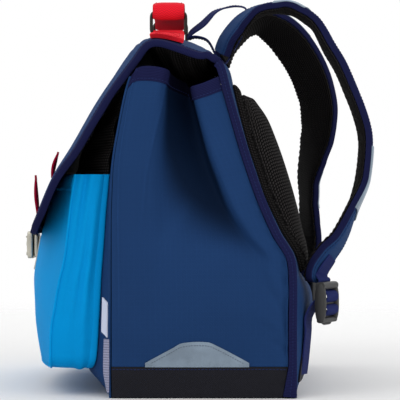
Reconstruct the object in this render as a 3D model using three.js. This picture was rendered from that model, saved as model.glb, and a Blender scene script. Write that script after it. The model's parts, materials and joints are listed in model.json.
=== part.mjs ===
// A school ransel: a box-shaped satchel backpack with a large front flap, a front pocket and two straps.
// Millimetres, +Z up. The flap and the pocket face -Y, the straps +Y, and the wearer's left-hand side is +X.
// The origin is the centre of the foot, on the floor.
import * as THREE from "three";

// Driving dimensions of the bag
const WIDTH = 380; // across the bag
const DEPTH = 176; // foot, from front to back
const SIDE_HEIGHT = 316; // foot to the side's top hem at the front corner
const BACK_HEIGHT = 322; // foot to the seam between the back and the flap
const FRONT_HEIGHT = 306; // foot to the free edge of the front, under the flap
const CLOTH = 2; // thickness of the fabric walls
const GAP = 0.3; // clearance between pieces that touch
const SEAM = 1.8; // distance between the middle lines of two walls that meet at a corner
const FOLD_DEPTH = 45; // how far the side's pleat runs inwards at the top
const FRONT_BULGE = 26; // how far the front stands forward of its side edges
const BACK_BULGE = 22; // how far the back stands behind its side seams
const HEM = 14; // height of the side's turned hem
const HEM_THICK = 3.4;
const SEAM_SET = 2; // the side's seams lie this far inside the full width
const BAND_HEIGHT = 30; // black band at the foot of the sides
const BAND_THICK = 2.5;
const FLOOR_THICK = 3;
const TAPE = 8; // width of the tape on the rear seams
const TAPE_THICK = 6;

// Flap
const FLAP_WIDTH = 378;
const FLAP_LENGTH = 310; // from the back seam to the lower edge, along the cloth
const FLAP_HEIGHT = 355; // its crown above the floor
const FLAP_REACH = 182; // its lower edge in front of the bag's middle
const FLAP_THICK = 4;
const FLAP_CORNER = 50; // radius of the two lower corners
const FLAP_TAPE = 10;
const FLAP_TAPE_PROUD = 1.2;

// Front pocket
const POCKET_WIDTH = 340;
const POCKET_FOOT = 28; // its lower edge above the floor
const POCKET_TOP = 213;
const POCKET_DEPTH = 60; // its seam in front of the bag's foot, at the bottom
const POCKET_BULGE = 37; // how far its face stands in front of its seam
const POCKET_CORNER = 20;
const POCKET_CLOTH = 1.8;
const PIPING = 7; // width of the rolled edge where the pocket meets the front
const PIPING_THICK = 3.4;

// Trim
const PATCH = 1.2; // thickness of sewn-on patches
const SIDE_PATCH_LENGTH = 99;
const SIDE_PATCH_HEIGHT = 22;
const SIDE_PATCH_MIDDLE = 0.46; // share of the DEPTH, from the front
const CORNER_PATCH_WIDTH = 14;
const CORNER_PATCH_HEIGHT = 51;
const STRIP_FOOT = 5; // the corner strips' lower end above the floor
const LABEL_WIDTH = 10;
const LABEL_HEIGHT = 37;
const LABEL_GAP = 4; // between the label and the corner strip below it
const TAB_WIDTH = 22;
const TAB_THICK = 2;
const TAB_OUT = 30; // the tabs' middle line, off the bag's middle

// Clasp
const LOCK_WIDTH = 36;
const LOCK_HEIGHT = 34;
const LOCK_THICK = 12.5;
const LOCK_LIP = 4; // thickness of the lock's lip in front of the flap
const LOCK_OVERLAP = 7; // how far the lip reaches up over the flap
const PLATE_THICK = 1.6;
const PLATE_HEIGHT = 34;
const PLATE_BELOW = 4; // its top below the flap's edge
const RIVET_RADIUS = 4.5;
const RIVET_SPACING = 20;
const RIVET_GAP = 4; // between a rivet and the flap's tape

// Handle
const HANDLE_SPAN = 120; // between its two rings
const HANDLE_PLACE = 0.195; // share of the flap's length, from the back seam
const HANDLE_WEBBING = 31;
const HANDLE_ARCH = 12;
const HANDLE_LAYER = 3.2;
const RING_HEIGHT = 27;
const RING_WIRE = 4;
const ANCHOR_LENGTH = 48;
const ANCHOR_LAYER = 2;
const HANG_WIDTH = 20;
const HANG_THICK = 1.6;
const HANG_PLACE = 12; // the hang loop's middle line, off the bag's middle

// Back padding
const BACK_PAD_WIDTH = 122;
const BACK_PAD_GAP = 34; // between the two pads
const BACK_PAD_THICK = 33;
const BACK_PAD_FOOT = 118;
const BACK_PAD_TOP = 289;
const BASE_PAD_TOP = 300;
const BASE_PAD_THICK = 6;
const BASE_PAD_WIDTH = 300;

// Shoulder straps
const STRAP_WIDTH = 58;
const STRAP_OUTER = 7.2; // thickness of the padded fabric
const STRAP_MESH = 4.6; // thickness of the mesh lining
const STRAP_EDGE = 0.36; // its full thickness ends at this share of its width, from the middle
const STRAP_PATCH_HALF = 0.2; // half a patch's width, as a share of the strap's
const STRAP_RISE = 392; // crest of the straps above the floor
const STRAP_REACH = 160; // how far they stand behind the bag's middle
const WEBBING = 25;
const WEBBING_THICK = 1.8;
const BUCKLE_WIDTH = 34;
const BUCKLE_HEIGHT = 38;
const BUCKLE_THICK = 5;
const BUCKLE_BAR = 5;
const BUCKLE_TURN = 0.5; // radians
const BUCKLE_RAIL = 3.5; // width of the buckle's two sides
const BUCKLE_OUT = 15; // it hangs this far behind the strap's end
const ANCHOR_OUT = WIDTH / 2 - 33; // the lower webbing's middle line, off the bag's middle
const ANCHOR_HEIGHTS = [20, 32, 44, 54]; // heights of the lower webbing where it lies on the back
const ANCHOR_PATCH_FOOT = 14;
const ANCHOR_PATCH_HEIGHT = 32;
const ANCHOR_PATCH_WIDTH = 40;
const ANCHOR_PATCH_TAPER = 0.6; // how much narrower the patch is at its top

// Outline of the bag seen from its side. up: share of SIDE_HEIGHT. front, rear: shares of half the DEPTH.
// fold: share of FOLD_DEPTH. crease, valley, rise: where the pleat starts, is deepest and ends, as shares
// of the side.
const SIDE = [
  { up: 0.0, front: 1.0, rear: 1.0, fold: 0.0, crease: 0.3, valley: 0.84, rise: 0.92 },
  { up: 0.2, front: 1.0, rear: 1.0, fold: 0.0, crease: 0.3, valley: 0.84, rise: 0.92 },
  { up: 0.37, front: 1.0, rear: 1.0, fold: 0.03, crease: 0.28, valley: 0.84, rise: 0.92 },
  { up: 0.43, front: 1.0, rear: 0.966, fold: 0.1, crease: 0.28, valley: 0.83, rise: 0.91 },
  { up: 0.5, front: 1.0, rear: 0.818, fold: 0.25, crease: 0.28, valley: 0.79, rise: 0.87 },
  { up: 0.595, front: 0.995, rear: 0.665, fold: 0.42, crease: 0.295, valley: 0.74, rise: 0.83 },
  { up: 0.715, front: 0.97, rear: 0.511, fold: 0.62, crease: 0.32, valley: 0.7, rise: 0.79 },
  { up: 0.83, front: 0.9, rear: 0.386, fold: 0.8, crease: 0.35, valley: 0.68, rise: 0.75 },
  { up: 0.93, front: 0.825, rear: 0.284, fold: 0.95, crease: 0.375, valley: 0.66, rise: 0.72 },
  { up: 1.0, front: 0.745, rear: 0.216, fold: 1.0, crease: 0.385, valley: 0.655, rise: 0.71 },
  { up: 1.02, front: 0.73, rear: 0.16, fold: 1.0, crease: 0.385, valley: 0.655, rise: 0.71 },
];

// The side's free top edge. across: share of the cloth from front to rear. top: share of SIDE_HEIGHT.
const SIDE_TOP = [
  { across: 0.0, top: 0.975 },
  { across: 0.1, top: 0.995 },
  { across: 0.25, top: 0.998 },
  { across: 0.4, top: 0.984 },
  { across: 0.62, top: 0.945 },
  { across: 0.75, top: 0.938 },
  { across: 1.0, top: 0.968 },
];

// Bulge of the front and the back. up: share of SIDE_HEIGHT. front, back: shares of FRONT_BULGE and
// BACK_BULGE.
const BULGE = [
  { up: 0.0, front: 0.0, back: 0.0 },
  { up: 0.038, front: 0.56, back: 0.36 },
  { up: 0.08, front: 1.0, back: 0.62 },
  { up: 0.19, front: 0.88, back: 0.92 },
  { up: 0.26, front: 0.78, back: 1.0 },
  { up: 0.32, front: 0.7, back: 0.86 },
  { up: 0.38, front: 0.6, back: 0.3 },
  { up: 0.54, front: 0.3, back: 0.16 },
  { up: 0.69, front: 0.08, back: 0.14 },
  { up: 0.85, front: 0.04, back: 0.2 },
  { up: 1.02, front: 0.04, back: 0.36 },
];

// The flap's outer face from the back seam to the lower edge. at: share of its length. edgeY, midY: shares of
// FLAP_REACH, forward positive, at the side edges and in the middle. edgeZ, midZ: shares of FLAP_HEIGHT.
const FLAP = [
  { at: 0.0, edgeY: -0.082, edgeZ: 0.907, midY: -0.121, midZ: 0.91 },
  { at: 0.05, edgeY: -0.014, edgeZ: 0.924, midY: -0.071, midZ: 0.944 },
  { at: 0.08, edgeY: 0.022, edgeZ: 0.921, midY: -0.03, midZ: 0.966 },
  { at: 0.155, edgeY: 0.143, edgeZ: 0.941, midY: 0.1, midZ: 0.996 },
  { at: 0.225, edgeY: 0.25, edgeZ: 0.955, midY: 0.242, midZ: 1.0 },
  { at: 0.265, edgeY: 0.308, edgeZ: 0.946, midY: 0.33, midZ: 0.995 },
  { at: 0.325, edgeY: 0.363, edgeZ: 0.907, midY: 0.415, midZ: 0.963 },
  { at: 0.48, edgeY: 0.508, edgeZ: 0.806, midY: 0.571, midZ: 0.845 },
  { at: 0.69, edgeY: 0.681, edgeZ: 0.659, midY: 0.747, midZ: 0.693 },
  { at: 0.8, edgeY: 0.78, edgeZ: 0.589, midY: 0.85, midZ: 0.603 },
  { at: 0.925, edgeY: 0.863, edgeZ: 0.496, midY: 0.95, midZ: 0.501 },
  { at: 1.0, edgeY: 0.907, edgeZ: 0.442, midY: 1.0, midZ: 0.434 },
];

// The pocket's front. up: share of the pocket's height. seam: its side seam in front of the foot, as a
// share of POCKET_DEPTH. bulge: share of POCKET_BULGE.
const POCKET = [
  { up: 0.0, seam: 1.0, bulge: 0.5 },
  { up: 0.2, seam: 0.985, bulge: 0.7 },
  { up: 0.31, seam: 0.93, bulge: 0.84 },
  { up: 0.44, seam: 0.86, bulge: 0.97 },
  { up: 0.55, seam: 0.78, bulge: 1.0 },
  { up: 0.7, seam: 0.72, bulge: 0.96 },
  { up: 0.86, seam: 0.665, bulge: 0.8 },
  { up: 1.0, seam: 0.6, bulge: 0.6 },
];

// The silver patch's arched top. across: share of its length. height: share of SIDE_PATCH_HEIGHT.
const SIDE_ARCH = [
  { across: 0.0, height: 0.1 },
  { across: 0.26, height: 0.73 },
  { across: 0.36, height: 0.96 },
  { across: 0.6, height: 1.0 },
  { across: 0.7, height: 0.82 },
  { across: 0.88, height: 0.4 },
  { across: 1.0, height: 0.1 },
];

// Thickness of a back pad from its foot to its top. up: share of its height. thick: share of BACK_PAD_THICK.
const BACK_PAD = [
  { up: 0.0, thick: 0.28 },
  { up: 0.06, thick: 0.46 },
  { up: 0.14, thick: 0.6 },
  { up: 0.26, thick: 0.8 },
  { up: 0.4, thick: 0.96 },
  { up: 0.55, thick: 1.0 },
  { up: 0.7, thick: 1.0 },
  { up: 0.84, thick: 0.88 },
  { up: 0.95, thick: 0.6 },
  { up: 1.0, thick: 0.32 },
];

// Routes of the two shoulder straps from the back seam over the crest to their lower end.
// out: share of half the WIDTH. back: share of STRAP_REACH. up: share of STRAP_RISE. turn: degrees about
// the route.
const STRAP_RIGHT = [
  { out: 0.28, back: 0.12, up: 0.862, turn: 14 },
  { out: 0.29, back: 0.155, up: 0.898, turn: 14 },
  { out: 0.3, back: 0.228, up: 0.936, turn: 14 },
  { out: 0.32, back: 0.3, up: 0.959, turn: 10 },
  { out: 0.34, back: 0.366, up: 0.971, turn: 6 },
  { out: 0.37, back: 0.454, up: 0.9755, turn: 3 },
  { out: 0.4, back: 0.553, up: 0.971, turn: 2 },
  { out: 0.43, back: 0.633, up: 0.953, turn: 2 },
  { out: 0.46, back: 0.701, up: 0.928, turn: 2 },
  { out: 0.5, back: 0.78, up: 0.869, turn: 0 },
  { out: 0.54, back: 0.85, up: 0.816, turn: 0 },
  { out: 0.57, back: 0.906, up: 0.76, turn: 0 },
  { out: 0.6, back: 0.955, up: 0.705, turn: 0 },
  { out: 0.63, back: 0.985, up: 0.655, turn: 0 },
  { out: 0.66, back: 0.99, up: 0.61, turn: 0 },
  { out: 0.7, back: 0.958, up: 0.518, turn: 0 },
  { out: 0.74, back: 0.9, up: 0.458, turn: 6 },
  { out: 0.77, back: 0.81, up: 0.381, turn: 14 },
  { out: 0.785, back: 0.74, up: 0.346, turn: 22 },
  { out: 0.788, back: 0.682, up: 0.308, turn: 27 },
  { out: 0.79, back: 0.668, up: 0.276, turn: 29 },
];
const STRAP_LEFT = [
  { out: 0.28, back: 0.12, up: 0.862, turn: 14 },
  { out: 0.29, back: 0.155, up: 0.898, turn: 14 },
  { out: 0.3, back: 0.228, up: 0.936, turn: 14 },
  { out: 0.31, back: 0.3, up: 0.96, turn: 12 },
  { out: 0.32, back: 0.366, up: 0.972, turn: 16 },
  { out: 0.335, back: 0.42, up: 0.97, turn: 22 },
  { out: 0.35, back: 0.48, up: 0.957, turn: 28 },
  { out: 0.37, back: 0.54, up: 0.938, turn: 32 },
  { out: 0.39, back: 0.6, up: 0.911, turn: 35 },
  { out: 0.42, back: 0.675, up: 0.867, turn: 35 },
  { out: 0.46, back: 0.735, up: 0.818, turn: 35 },
  { out: 0.52, back: 0.78, up: 0.757, turn: 34 },
  { out: 0.57, back: 0.79, up: 0.715, turn: 32 },
  { out: 0.62, back: 0.785, up: 0.67, turn: 30 },
  { out: 0.68, back: 0.762, up: 0.62, turn: 24 },
  { out: 0.76, back: 0.735, up: 0.55, turn: 14 },
  { out: 0.8, back: 0.74, up: 0.48, turn: 10 },
  { out: 0.8, back: 0.745, up: 0.41, turn: 14 },
  { out: 0.79, back: 0.735, up: 0.346, turn: 22 },
  { out: 0.79, back: 0.682, up: 0.308, turn: 27 },
  { out: 0.79, back: 0.668, up: 0.276, turn: 29 },
];

// Patches on a strap. from, to: shares of its route.
const STRAP_PATCHES = [
  { part: "upper", from: 0.2, to: 0.283 },
  { part: "lower", from: 0.656, to: 0.81 },
];

// Pointed tabs on the flap. foot: share of the flap's length at their sewn end. long: millimetres.
// standOff: millimetres between the flap and their tip.
const TABS = [
  { name: "tab_lower", foot: 0.95, long: 36, standOff: 11 },
  { name: "tab_upper", foot: 0.82, long: 24, standOff: 7 },
];

// Taper of a strap. along: share of its route. wide: share of STRAP_WIDTH.
const STRAP_TAPER = [
  { along: 0.0, wide: 0.86 },
  { along: 0.15, wide: 0.95 },
  { along: 0.4, wide: 1.0 },
  { along: 0.8, wide: 1.0 },
  { along: 0.93, wide: 0.85 },
  { along: 1.0, wide: 0.55 },
];

// Shares of the flap's length at which the hang loop is sewn on
const HANG_SEATS = [0.02, 0.05];
// The hang loop seen from the side, after its sewn ends. forward: share of DEPTH. up: share of STRAP_RISE.
const HANG_LOOP = [
  { forward: -0.02, up: 0.905 },
  { forward: 0.05, up: 0.9145 },
  { forward: 0.09, up: 0.912 },
  { forward: 0.075, up: 0.925 },
  { forward: 0.005, up: 0.95 },
  { forward: -0.065, up: 0.981 },
  { forward: -0.13, up: 0.992 },
  { forward: -0.195, up: 0.996 },
  { forward: -0.245, up: 0.99 },
  { forward: -0.262, up: 0.965 },
  { forward: -0.23, up: 0.925 },
  { forward: -0.185, up: 0.885 },
];

// Colours and finishes
function finish(color, roughness, metalness = 0) {
  return new THREE.MeshStandardMaterial({ color, roughness, metalness });
}
const NAVY = finish(0x23416e, 0.8);
const INDIGO = finish(0x1e2046, 0.9);
const BLACK = finish(0x212129, 0.9);
const CYAN = finish(0x0591d2, 0.75);
const RED = finish(0xeb1e2d, 0.8);
const CRIMSON = finish(0x961432, 0.8);
const SILVER = finish(0x8291a0, 0.45);
const GREY = finish(0xa0a0b9, 0.6);
const WHITE = finish(0xd7dcf0, 0.8);
const NICKEL = finish(0xbebcaf, 0.25, 1);
const DARK_NICKEL = finish(0x6b6964, 0.35, 1);
const MESH = finish(0x1c1b1b, 0.95);
const PLASTIC = finish(0x3c3c3c, 0.5);

const bag = new THREE.Group();

function add(name, geometry, material) {
  const mesh = new THREE.Mesh(geometry, material);
  mesh.name = name;
  bag.add(mesh);
  return mesh;
}

// Reads a column of a table at a place in its first column, on a smooth curve through the rows.
function read(rows, by, key, at) {
  let i = 0;
  while (i < rows.length - 2 && at > rows[i + 1][by]) i += 1;
  const a = rows[i];
  const b = rows[i + 1];
  const before = rows[Math.max(i - 1, 0)];
  const after = rows[Math.min(i + 2, rows.length - 1)];
  const span = b[by] - a[by];
  const t = THREE.MathUtils.clamp((at - a[by]) / span, 0, 1);
  const slopeA = ((b[key] - before[key]) / (b[by] - before[by])) * span;
  const slopeB = ((after[key] - a[key]) / (after[by] - a[by])) * span;
  const t2 = t * t;
  const t3 = t2 * t;
  return (
    a[key] * (2 * t3 - 3 * t2 + 1) + slopeA * (t3 - 2 * t2 + t) +
    b[key] * (3 * t2 - 2 * t3) + slopeB * (t3 - t2)
  );
}

// Evenly spaced values from one end to the other.
function spread(from, to, steps) {
  return Array.from({ length: steps + 1 }, (_, i) => from + ((to - from) * i) / steps);
}

// Rows of points on a surface: one row for each v, one point for each u.
function grid(us, vs, point) {
  return vs.map((v) => us.map((u) => point(u, v)));
}

// The same surface on the other side of the bag, still facing outwards.
function mirrored(rows) {
  return rows.map((row) => row.map((p) => new THREE.Vector3(-p.x, p.y, p.z)).reverse());
}

// The direction a surface faces at each point of its grid. A level one has no up or down in it.
function facing(rows, ring, level) {
  const last = rows.length - 1;
  return rows.map((row, j) =>
    row.map((_, i) => {
      const before = ring ? rows[(j + last) % (last + 1)] : rows[Math.max(j - 1, 0)];
      const after = ring ? rows[(j + 1) % (last + 1)] : rows[Math.min(j + 1, last)];
      const along = new THREE.Vector3().subVectors(after[i], before[i]);
      const left = row[Math.max(i - 1, 0)];
      const right = row[Math.min(i + 1, row.length - 1)];
      const normal = new THREE.Vector3().subVectors(right, left).cross(along);
      if (level) normal.z = 0;
      return normal.normalize();
    }),
  );
}

// A closed solid between two offsets of a surface. low and high are lengths, or functions of the place
// (0 to 1) across and along. A ring closes on itself along its rows.
function wall(rows, low, high, { ring = false, level = false } = {}) {
  const normals = facing(rows, ring, level);
  const across = rows[0].length;
  const along = rows.length;
  const amount = (value, i, j) =>
    typeof value === "function" ? value(i / (across - 1), j / (along - 1)) : value;
  const positions = [];
  for (const layer of [low, high]) {
    rows.forEach((row, j) =>
      row.forEach((p, i) => {
        const q = p.clone().addScaledVector(normals[j][i], amount(layer, i, j));
        positions.push(q.x, q.y, q.z);
      }),
    );
  }
  const faces = [];
  const quad = (a, b, c, d) => faces.push(a, b, c, a, c, d);
  const lowAt = (i, j) => (j % along) * across + i;
  const highAt = (i, j) => along * across + lowAt(i, j);
  const steps = ring ? along : along - 1;
  for (let j = 0; j < steps; j += 1) {
    for (let i = 0; i < across - 1; i += 1) {
      quad(highAt(i, j), highAt(i + 1, j), highAt(i + 1, j + 1), highAt(i, j + 1));
      quad(lowAt(i, j), lowAt(i, j + 1), lowAt(i + 1, j + 1), lowAt(i + 1, j));
    }
    quad(lowAt(0, j), highAt(0, j), highAt(0, j + 1), lowAt(0, j + 1));
    const i = across - 1;
    quad(highAt(i, j), lowAt(i, j), lowAt(i, j + 1), highAt(i, j + 1));
  }
  if (!ring) {
    const end = along - 1;
    for (let i = 0; i < across - 1; i += 1) {
      quad(lowAt(i, 0), lowAt(i + 1, 0), highAt(i + 1, 0), highAt(i, 0));
      quad(highAt(i, end), highAt(i + 1, end), lowAt(i + 1, end), lowAt(i, end));
    }
  }
  const geometry = new THREE.BufferGeometry();
  geometry.setAttribute("position", new THREE.Float32BufferAttribute(positions, 3));
  geometry.setIndex(faces);
  geometry.computeVertexNormals();
  return geometry;
}

// Adds a wall on the right and its mirror image on the left.
function addPair(name, rows, low, high, options, material) {
  add(`${name}_right`, wall(rows, low, high, options), material);
  const turned = (value) => (typeof value === "function" ? (u, v) => value(1 - u, v) : value);
  add(`${name}_left`, wall(mirrored(rows), turned(low), turned(high), options), material);
}

// Half the distance between the side seams
const frontHalf = WIDTH / 2 - SEAM_SET;

// Seams of the bag at a height
function frontSeam(z) {
  return (-DEPTH / 2) * read(SIDE, "up", "front", z / SIDE_HEIGHT);
}
function rearSeam(z) {
  return (DEPTH / 2) * read(SIDE, "up", "rear", z / SIDE_HEIGHT);
}

// The rear tape is wider at the foot, and is measured square to the seam.
function tapeWidth(z) {
  return TAPE * (1 + 0.7 * Math.max(0, 1 - z / BAND_HEIGHT));
}
function tapeInset(z, clearance) {
  const slope = rearSeam(z + 1) - rearSeam(z - 1);
  return (tapeWidth(z) + clearance) * Math.hypot(1, slope / 2);
}

// A level section of the side, from the front seam to the tape, with the pleat folded inwards.
function sideSection(z) {
  const share = z / SIDE_HEIGHT;
  const front = frontSeam(z);
  const length = rearSeam(z) - tapeInset(z, 2 * GAP) - front;
  const swell = Math.min(1, z / (2 * BAND_HEIGHT)) * SEAM_SET;
  const depth = FOLD_DEPTH * read(SIDE, "up", "fold", share);
  const crease = read(SIDE, "up", "crease", share);
  const valley = read(SIDE, "up", "valley", share);
  const rise = read(SIDE, "up", "rise", share);
  const places = [
    [0, 0],
    [0.055, swell],
    [crease * 0.5, swell * 1.6],
    [crease - 0.03, swell],
    [crease + 0.35 * (valley - crease), swell * 1.4 - depth * 0.5],
    [valley - 0.02, -depth * 0.97],
    [valley + 0.25 * (rise - valley), swell * 0.5 - depth],
    [rise, swell * 1.2 - depth * 0.04],
    [(1 + rise) / 2, swell * 1.2],
    [1, 0],
  ];
  const points = places.map(
    ([place, out]) => new THREE.Vector3(frontHalf + out, front + place * length, z),
  );
  return new THREE.CatmullRomCurve3(points, false, "centripetal");
}
const SIDE_COLUMNS = 18;
const SECTION_STEPS = 120;

function sidePoint(across, up) {
  const top = SIDE_HEIGHT * read(SIDE_TOP, "across", "top", across);
  const z = BAND_HEIGHT + (top - BAND_HEIGHT) * up;
  return sideSection(z).getPoint(across);
}

// Sides: black band, pleated fabric, turned hem
const columns = spread(0, 1, SIDE_COLUMNS);
const bandRows = grid(columns, [0, 0.45, 1], (across, v) =>
  sideSection(v * (BAND_HEIGHT - GAP)).getPoint(across),
);
addPair("base_band", bandRows, -BAND_THICK / 2, BAND_THICK / 2, { level: true }, BLACK);

const hemShare = 1 - HEM / (SIDE_HEIGHT - BAND_HEIGHT);
const clothShares = [0, 0.12, 0.24, 0.33, 0.39, 0.47, 0.57, 0.69, 0.8, 0.89, hemShare - 0.009];
const clothRows = grid(columns, clothShares, sidePoint);
addPair("side_panel", clothRows, -CLOTH / 2, CLOTH / 2, { level: true }, NAVY);
const hemRows = grid(columns, [hemShare, 1], sidePoint);
addPair("side_hem", hemRows, -HEM_THICK / 2, HEM_THICK / 2, { level: true }, INDIGO);

// Silver patches at the foot of the sides
const patchHalf = SIDE_PATCH_LENGTH / 2 / DEPTH;
const sidePatchRows = grid(spread(0, 1, 12), [0, 0.5, 1], (u, v) => {
  const height = SIDE_PATCH_HEIGHT * read(SIDE_ARCH, "across", "height", u);
  const z = BAND_HEIGHT + SEAM + v * height;
  const y = (SIDE_PATCH_MIDDLE - 0.5 + patchHalf * (2 * u - 1)) * DEPTH;
  const nearer = (a, b) => (Math.abs(a.y - y) < Math.abs(b.y - y) ? a : b);
  return sideSection(z).getPoints(SECTION_STEPS).reduce(nearer);
});
const patchLow = CLOTH / 2 + 3 * GAP;
addPair("side_reflector", sidePatchRows, patchLow, patchLow + PATCH, { level: true }, SILVER);

// Front and back walls, which bulge between their seams
function frontPoint(x, z) {
  const bulge = FRONT_BULGE * read(BULGE, "up", "front", z / SIDE_HEIGHT);
  return new THREE.Vector3(x, frontSeam(z) - SEAM - bulge * (1 - Math.abs(x / frontHalf) ** 6), z);
}
const backHalf = WIDTH / 2 - SEAM_SET - TAPE_THICK / 2 + 1 - GAP - CLOTH;
function backPoint(x, z) {
  const bulge = BACK_BULGE * read(BULGE, "up", "back", z / SIDE_HEIGHT);
  return new THREE.Vector3(x, rearSeam(z) - CLOTH / 2 + bulge * (1 - Math.abs(x / backHalf) ** 4), z);
}
// The values of a list that lie between two ends, with the ends
function within(list, from, to) {
  return [from, ...list.filter((value) => value > from && value < to), to];
}
const WIDE = [-1, -0.95, -0.86, -0.7, -0.45, -0.15, 0.15, 0.45, 0.7, 0.86, 0.95, 1];
const wideColumns = (half) => WIDE.map((s) => s * half);
const frontHeights = [0, 0.04, 0.085, 0.2, 0.32, 0.45, 0.6, 0.75, 0.88, 1].map((s) => s * FRONT_HEIGHT);
add(
  "front_panel",
  wall(grid(wideColumns(frontHalf), frontHeights, frontPoint), -CLOTH / 2, CLOTH / 2, { level: true }),
  NAVY,
);
const backTop = BACK_HEIGHT - FLAP_THICK - FLAP_TAPE_PROUD - 2 * GAP;
const backShares = [0, 0.035, 0.08, 0.16, 0.25, 0.31, 0.37, 0.41, 0.45, 0.5, 0.6, 0.75, 0.9, 1];
const backHeights = backShares.map((s) => s * backTop);
const backColumns = wideColumns(-backHalf);
const backRows = grid(backColumns, backHeights, backPoint);
add("back_panel", wall(backRows, -CLOTH / 2, CLOTH / 2, { level: true }), NAVY);

// Floor
const floorX = WIDTH / 2 - SEAM_SET - BAND_THICK / 2 - GAP;
const floorFront = frontSeam(0) - SEAM + CLOTH / 2 + GAP;
const floorRear = rearSeam(0) - CLOTH - GAP;
const floor = new THREE.BoxGeometry(2 * floorX, floorRear - floorFront, FLOOR_THICK);
add("base_panel", floor.translate(0, (floorRear + floorFront) / 2, FLOOR_THICK / 2), BLACK);

// Tape on the rear seams
const tapeX = WIDTH / 2 - SEAM_SET + 1;
const tapeHeights = [
  FLOOR_THICK + 2 * GAP,
  0.45 * BAND_HEIGHT,
  ...clothShares.map((share) => sidePoint(1, share).z),
  sidePoint(1, 1).z,
  BACK_HEIGHT - FLAP_THICK - 2 * FLAP_TAPE_PROUD,
];
const tapeRows = grid([1, 0.5, 0], tapeHeights, (u, z) => {
  return new THREE.Vector3(tapeX, rearSeam(z) - u * tapeInset(z, 0), z);
});
addPair("back_binding", tapeRows, -TAPE_THICK / 2, TAPE_THICK / 2, {}, INDIGO);

// Ribbed strips at the front corners and the small label beside the pocket, sewn on the front wall
const stripIn = frontHalf - CORNER_PATCH_WIDTH;
const frontColumns = wideColumns(frontHalf);
const stripRows = grid(
  within(frontColumns, stripIn, frontHalf - 1),
  within(frontHeights, STRIP_FOOT, STRIP_FOOT + CORNER_PATCH_HEIGHT),
  frontPoint,
);
addPair("corner_reflector", stripRows, patchLow, patchLow + PATCH, { level: true }, GREY);
const labelFoot = STRIP_FOOT + CORNER_PATCH_HEIGHT + LABEL_GAP;
const labelRows = grid(
  within(frontColumns, frontHalf - 1 - LABEL_WIDTH, frontHalf - 1),
  within(frontHeights, labelFoot, labelFoot + LABEL_HEIGHT),
  frontPoint,
);
add("side_label", wall(labelRows, patchLow, patchLow + PATCH, { level: true }), WHITE);

// Pocket: half its width at a height, with round lower corners, its seam and its bulging face
function pocketHalf(z, inset = 0) {
  const radius = POCKET_CORNER - inset;
  const above = Math.min(radius, Math.max(0, z - POCKET_FOOT - inset));
  return POCKET_WIDTH / 2 - POCKET_CORNER + Math.sqrt(radius ** 2 - (radius - above) ** 2);
}
function pocketFace(x, z) {
  const up = (z - POCKET_FOOT) / (POCKET_TOP - POCKET_FOOT);
  const seam = DEPTH / 2 + POCKET_DEPTH * read(POCKET, "up", "seam", up);
  const bulge = POCKET_BULGE * read(POCKET, "up", "bulge", up);
  const side = Math.min(1, Math.abs(x) / pocketHalf(z));
  return -seam - bulge * (1 - side ** 2.2);
}
const faceInset = POCKET_CLOTH / 2 + SEAM;
const pocketRows = [0, 0.02, 0.05, 0.11, 0.2, 0.31, 0.44, 0.56, 0.7, 0.86, 1].map((s) => {
  const z = POCKET_FOOT + faceInset + s * (POCKET_TOP - POCKET_FOOT - faceInset);
  return [-1, -0.9, -0.72, -0.5, -0.25, 0, 0.25, 0.5, 0.72, 0.9, 1].map((u) => {
    const x = u * pocketHalf(z, faceInset);
    return new THREE.Vector3(x, pocketFace(x, z), z);
  });
});
add("pocket_front", wall(pocketRows, -CLOTH / 2, CLOTH / 2, { level: true }), CYAN);

// The pocket's outline as seen from the front: down the right side, along the bottom and up the left side
const pocketSideX = POCKET_WIDTH / 2;
const cornerX = pocketSideX - POCKET_CORNER;
const cornerZ = POCKET_FOOT + POCKET_CORNER;
const outline = [];
for (const z of spread(POCKET_TOP, cornerZ + 4, 7)) outline.push([pocketSideX, z]);
for (const a of spread(0, Math.PI / 2, 4)) {
  outline.push([cornerX + POCKET_CORNER * Math.cos(a), cornerZ - POCKET_CORNER * Math.sin(a)]);
}
for (const x of spread(cornerX - 22, 0, 5)) outline.push([x, POCKET_FOOT]);
const pocketOutline = [...outline, ...outline.slice(0, -1).reverse().map(([x, z]) => [-x, z])];

// The folded wall between the pocket's face and the bag's front, and the rolled edge where it is sewn on
function gussetRows(fromRear, toRear, steps) {
  return pocketOutline.map(([x, z]) => {
    const face = pocketFace(x, z) - CLOTH / 2;
    const inner = Math.max(0, Math.abs(x) - PIPING_THICK / 2);
    const wallFront = Math.min(frontPoint(inner, z).y, frontPoint(inner, z + PIPING_THICK / 2).y);
    const rear = wallFront - CLOTH / 2 - 2 * GAP;
    const ends = [fromRear, toRear].map((d) => (d === null ? face : rear - d));
    return spread(ends[0], ends[1], steps).map((y) => new THREE.Vector3(x, y, z));
  });
}
add(
  "pocket_gusset",
  wall(gussetRows(PIPING + GAP, null, 2), -POCKET_CLOTH / 2, POCKET_CLOTH / 2),
  CYAN,
);
add("pocket_piping", wall(gussetRows(0, PIPING, 1), -PIPING_THICK / 2, PIPING_THICK / 2), CYAN);

// The flap's outer face: x across, at along
function flapPoint(x, at) {
  const side = Math.min(1, Math.abs(x) / (FLAP_WIDTH / 2));
  const crown = 0.8 * (1 - side ** 1.6) + 0.2 * (1 - side ** 8);
  const mix = (edge, middle) => {
    return THREE.MathUtils.lerp(read(FLAP, "at", edge, at), read(FLAP, "at", middle, at), crown);
  };
  const y = -FLAP_REACH * mix("edgeY", "midY");
  return new THREE.Vector3(x, y, FLAP_HEIGHT * mix("edgeZ", "midZ"));
}
function flapNormal(x, at) {
  const step = 0.01;
  const across = flapPoint(x - 4, at).sub(flapPoint(x + 4, at));
  const along = flapPoint(x, Math.min(1, at + step)).sub(flapPoint(x, Math.max(0, at - step)));
  return across.cross(along).normalize();
}
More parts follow.
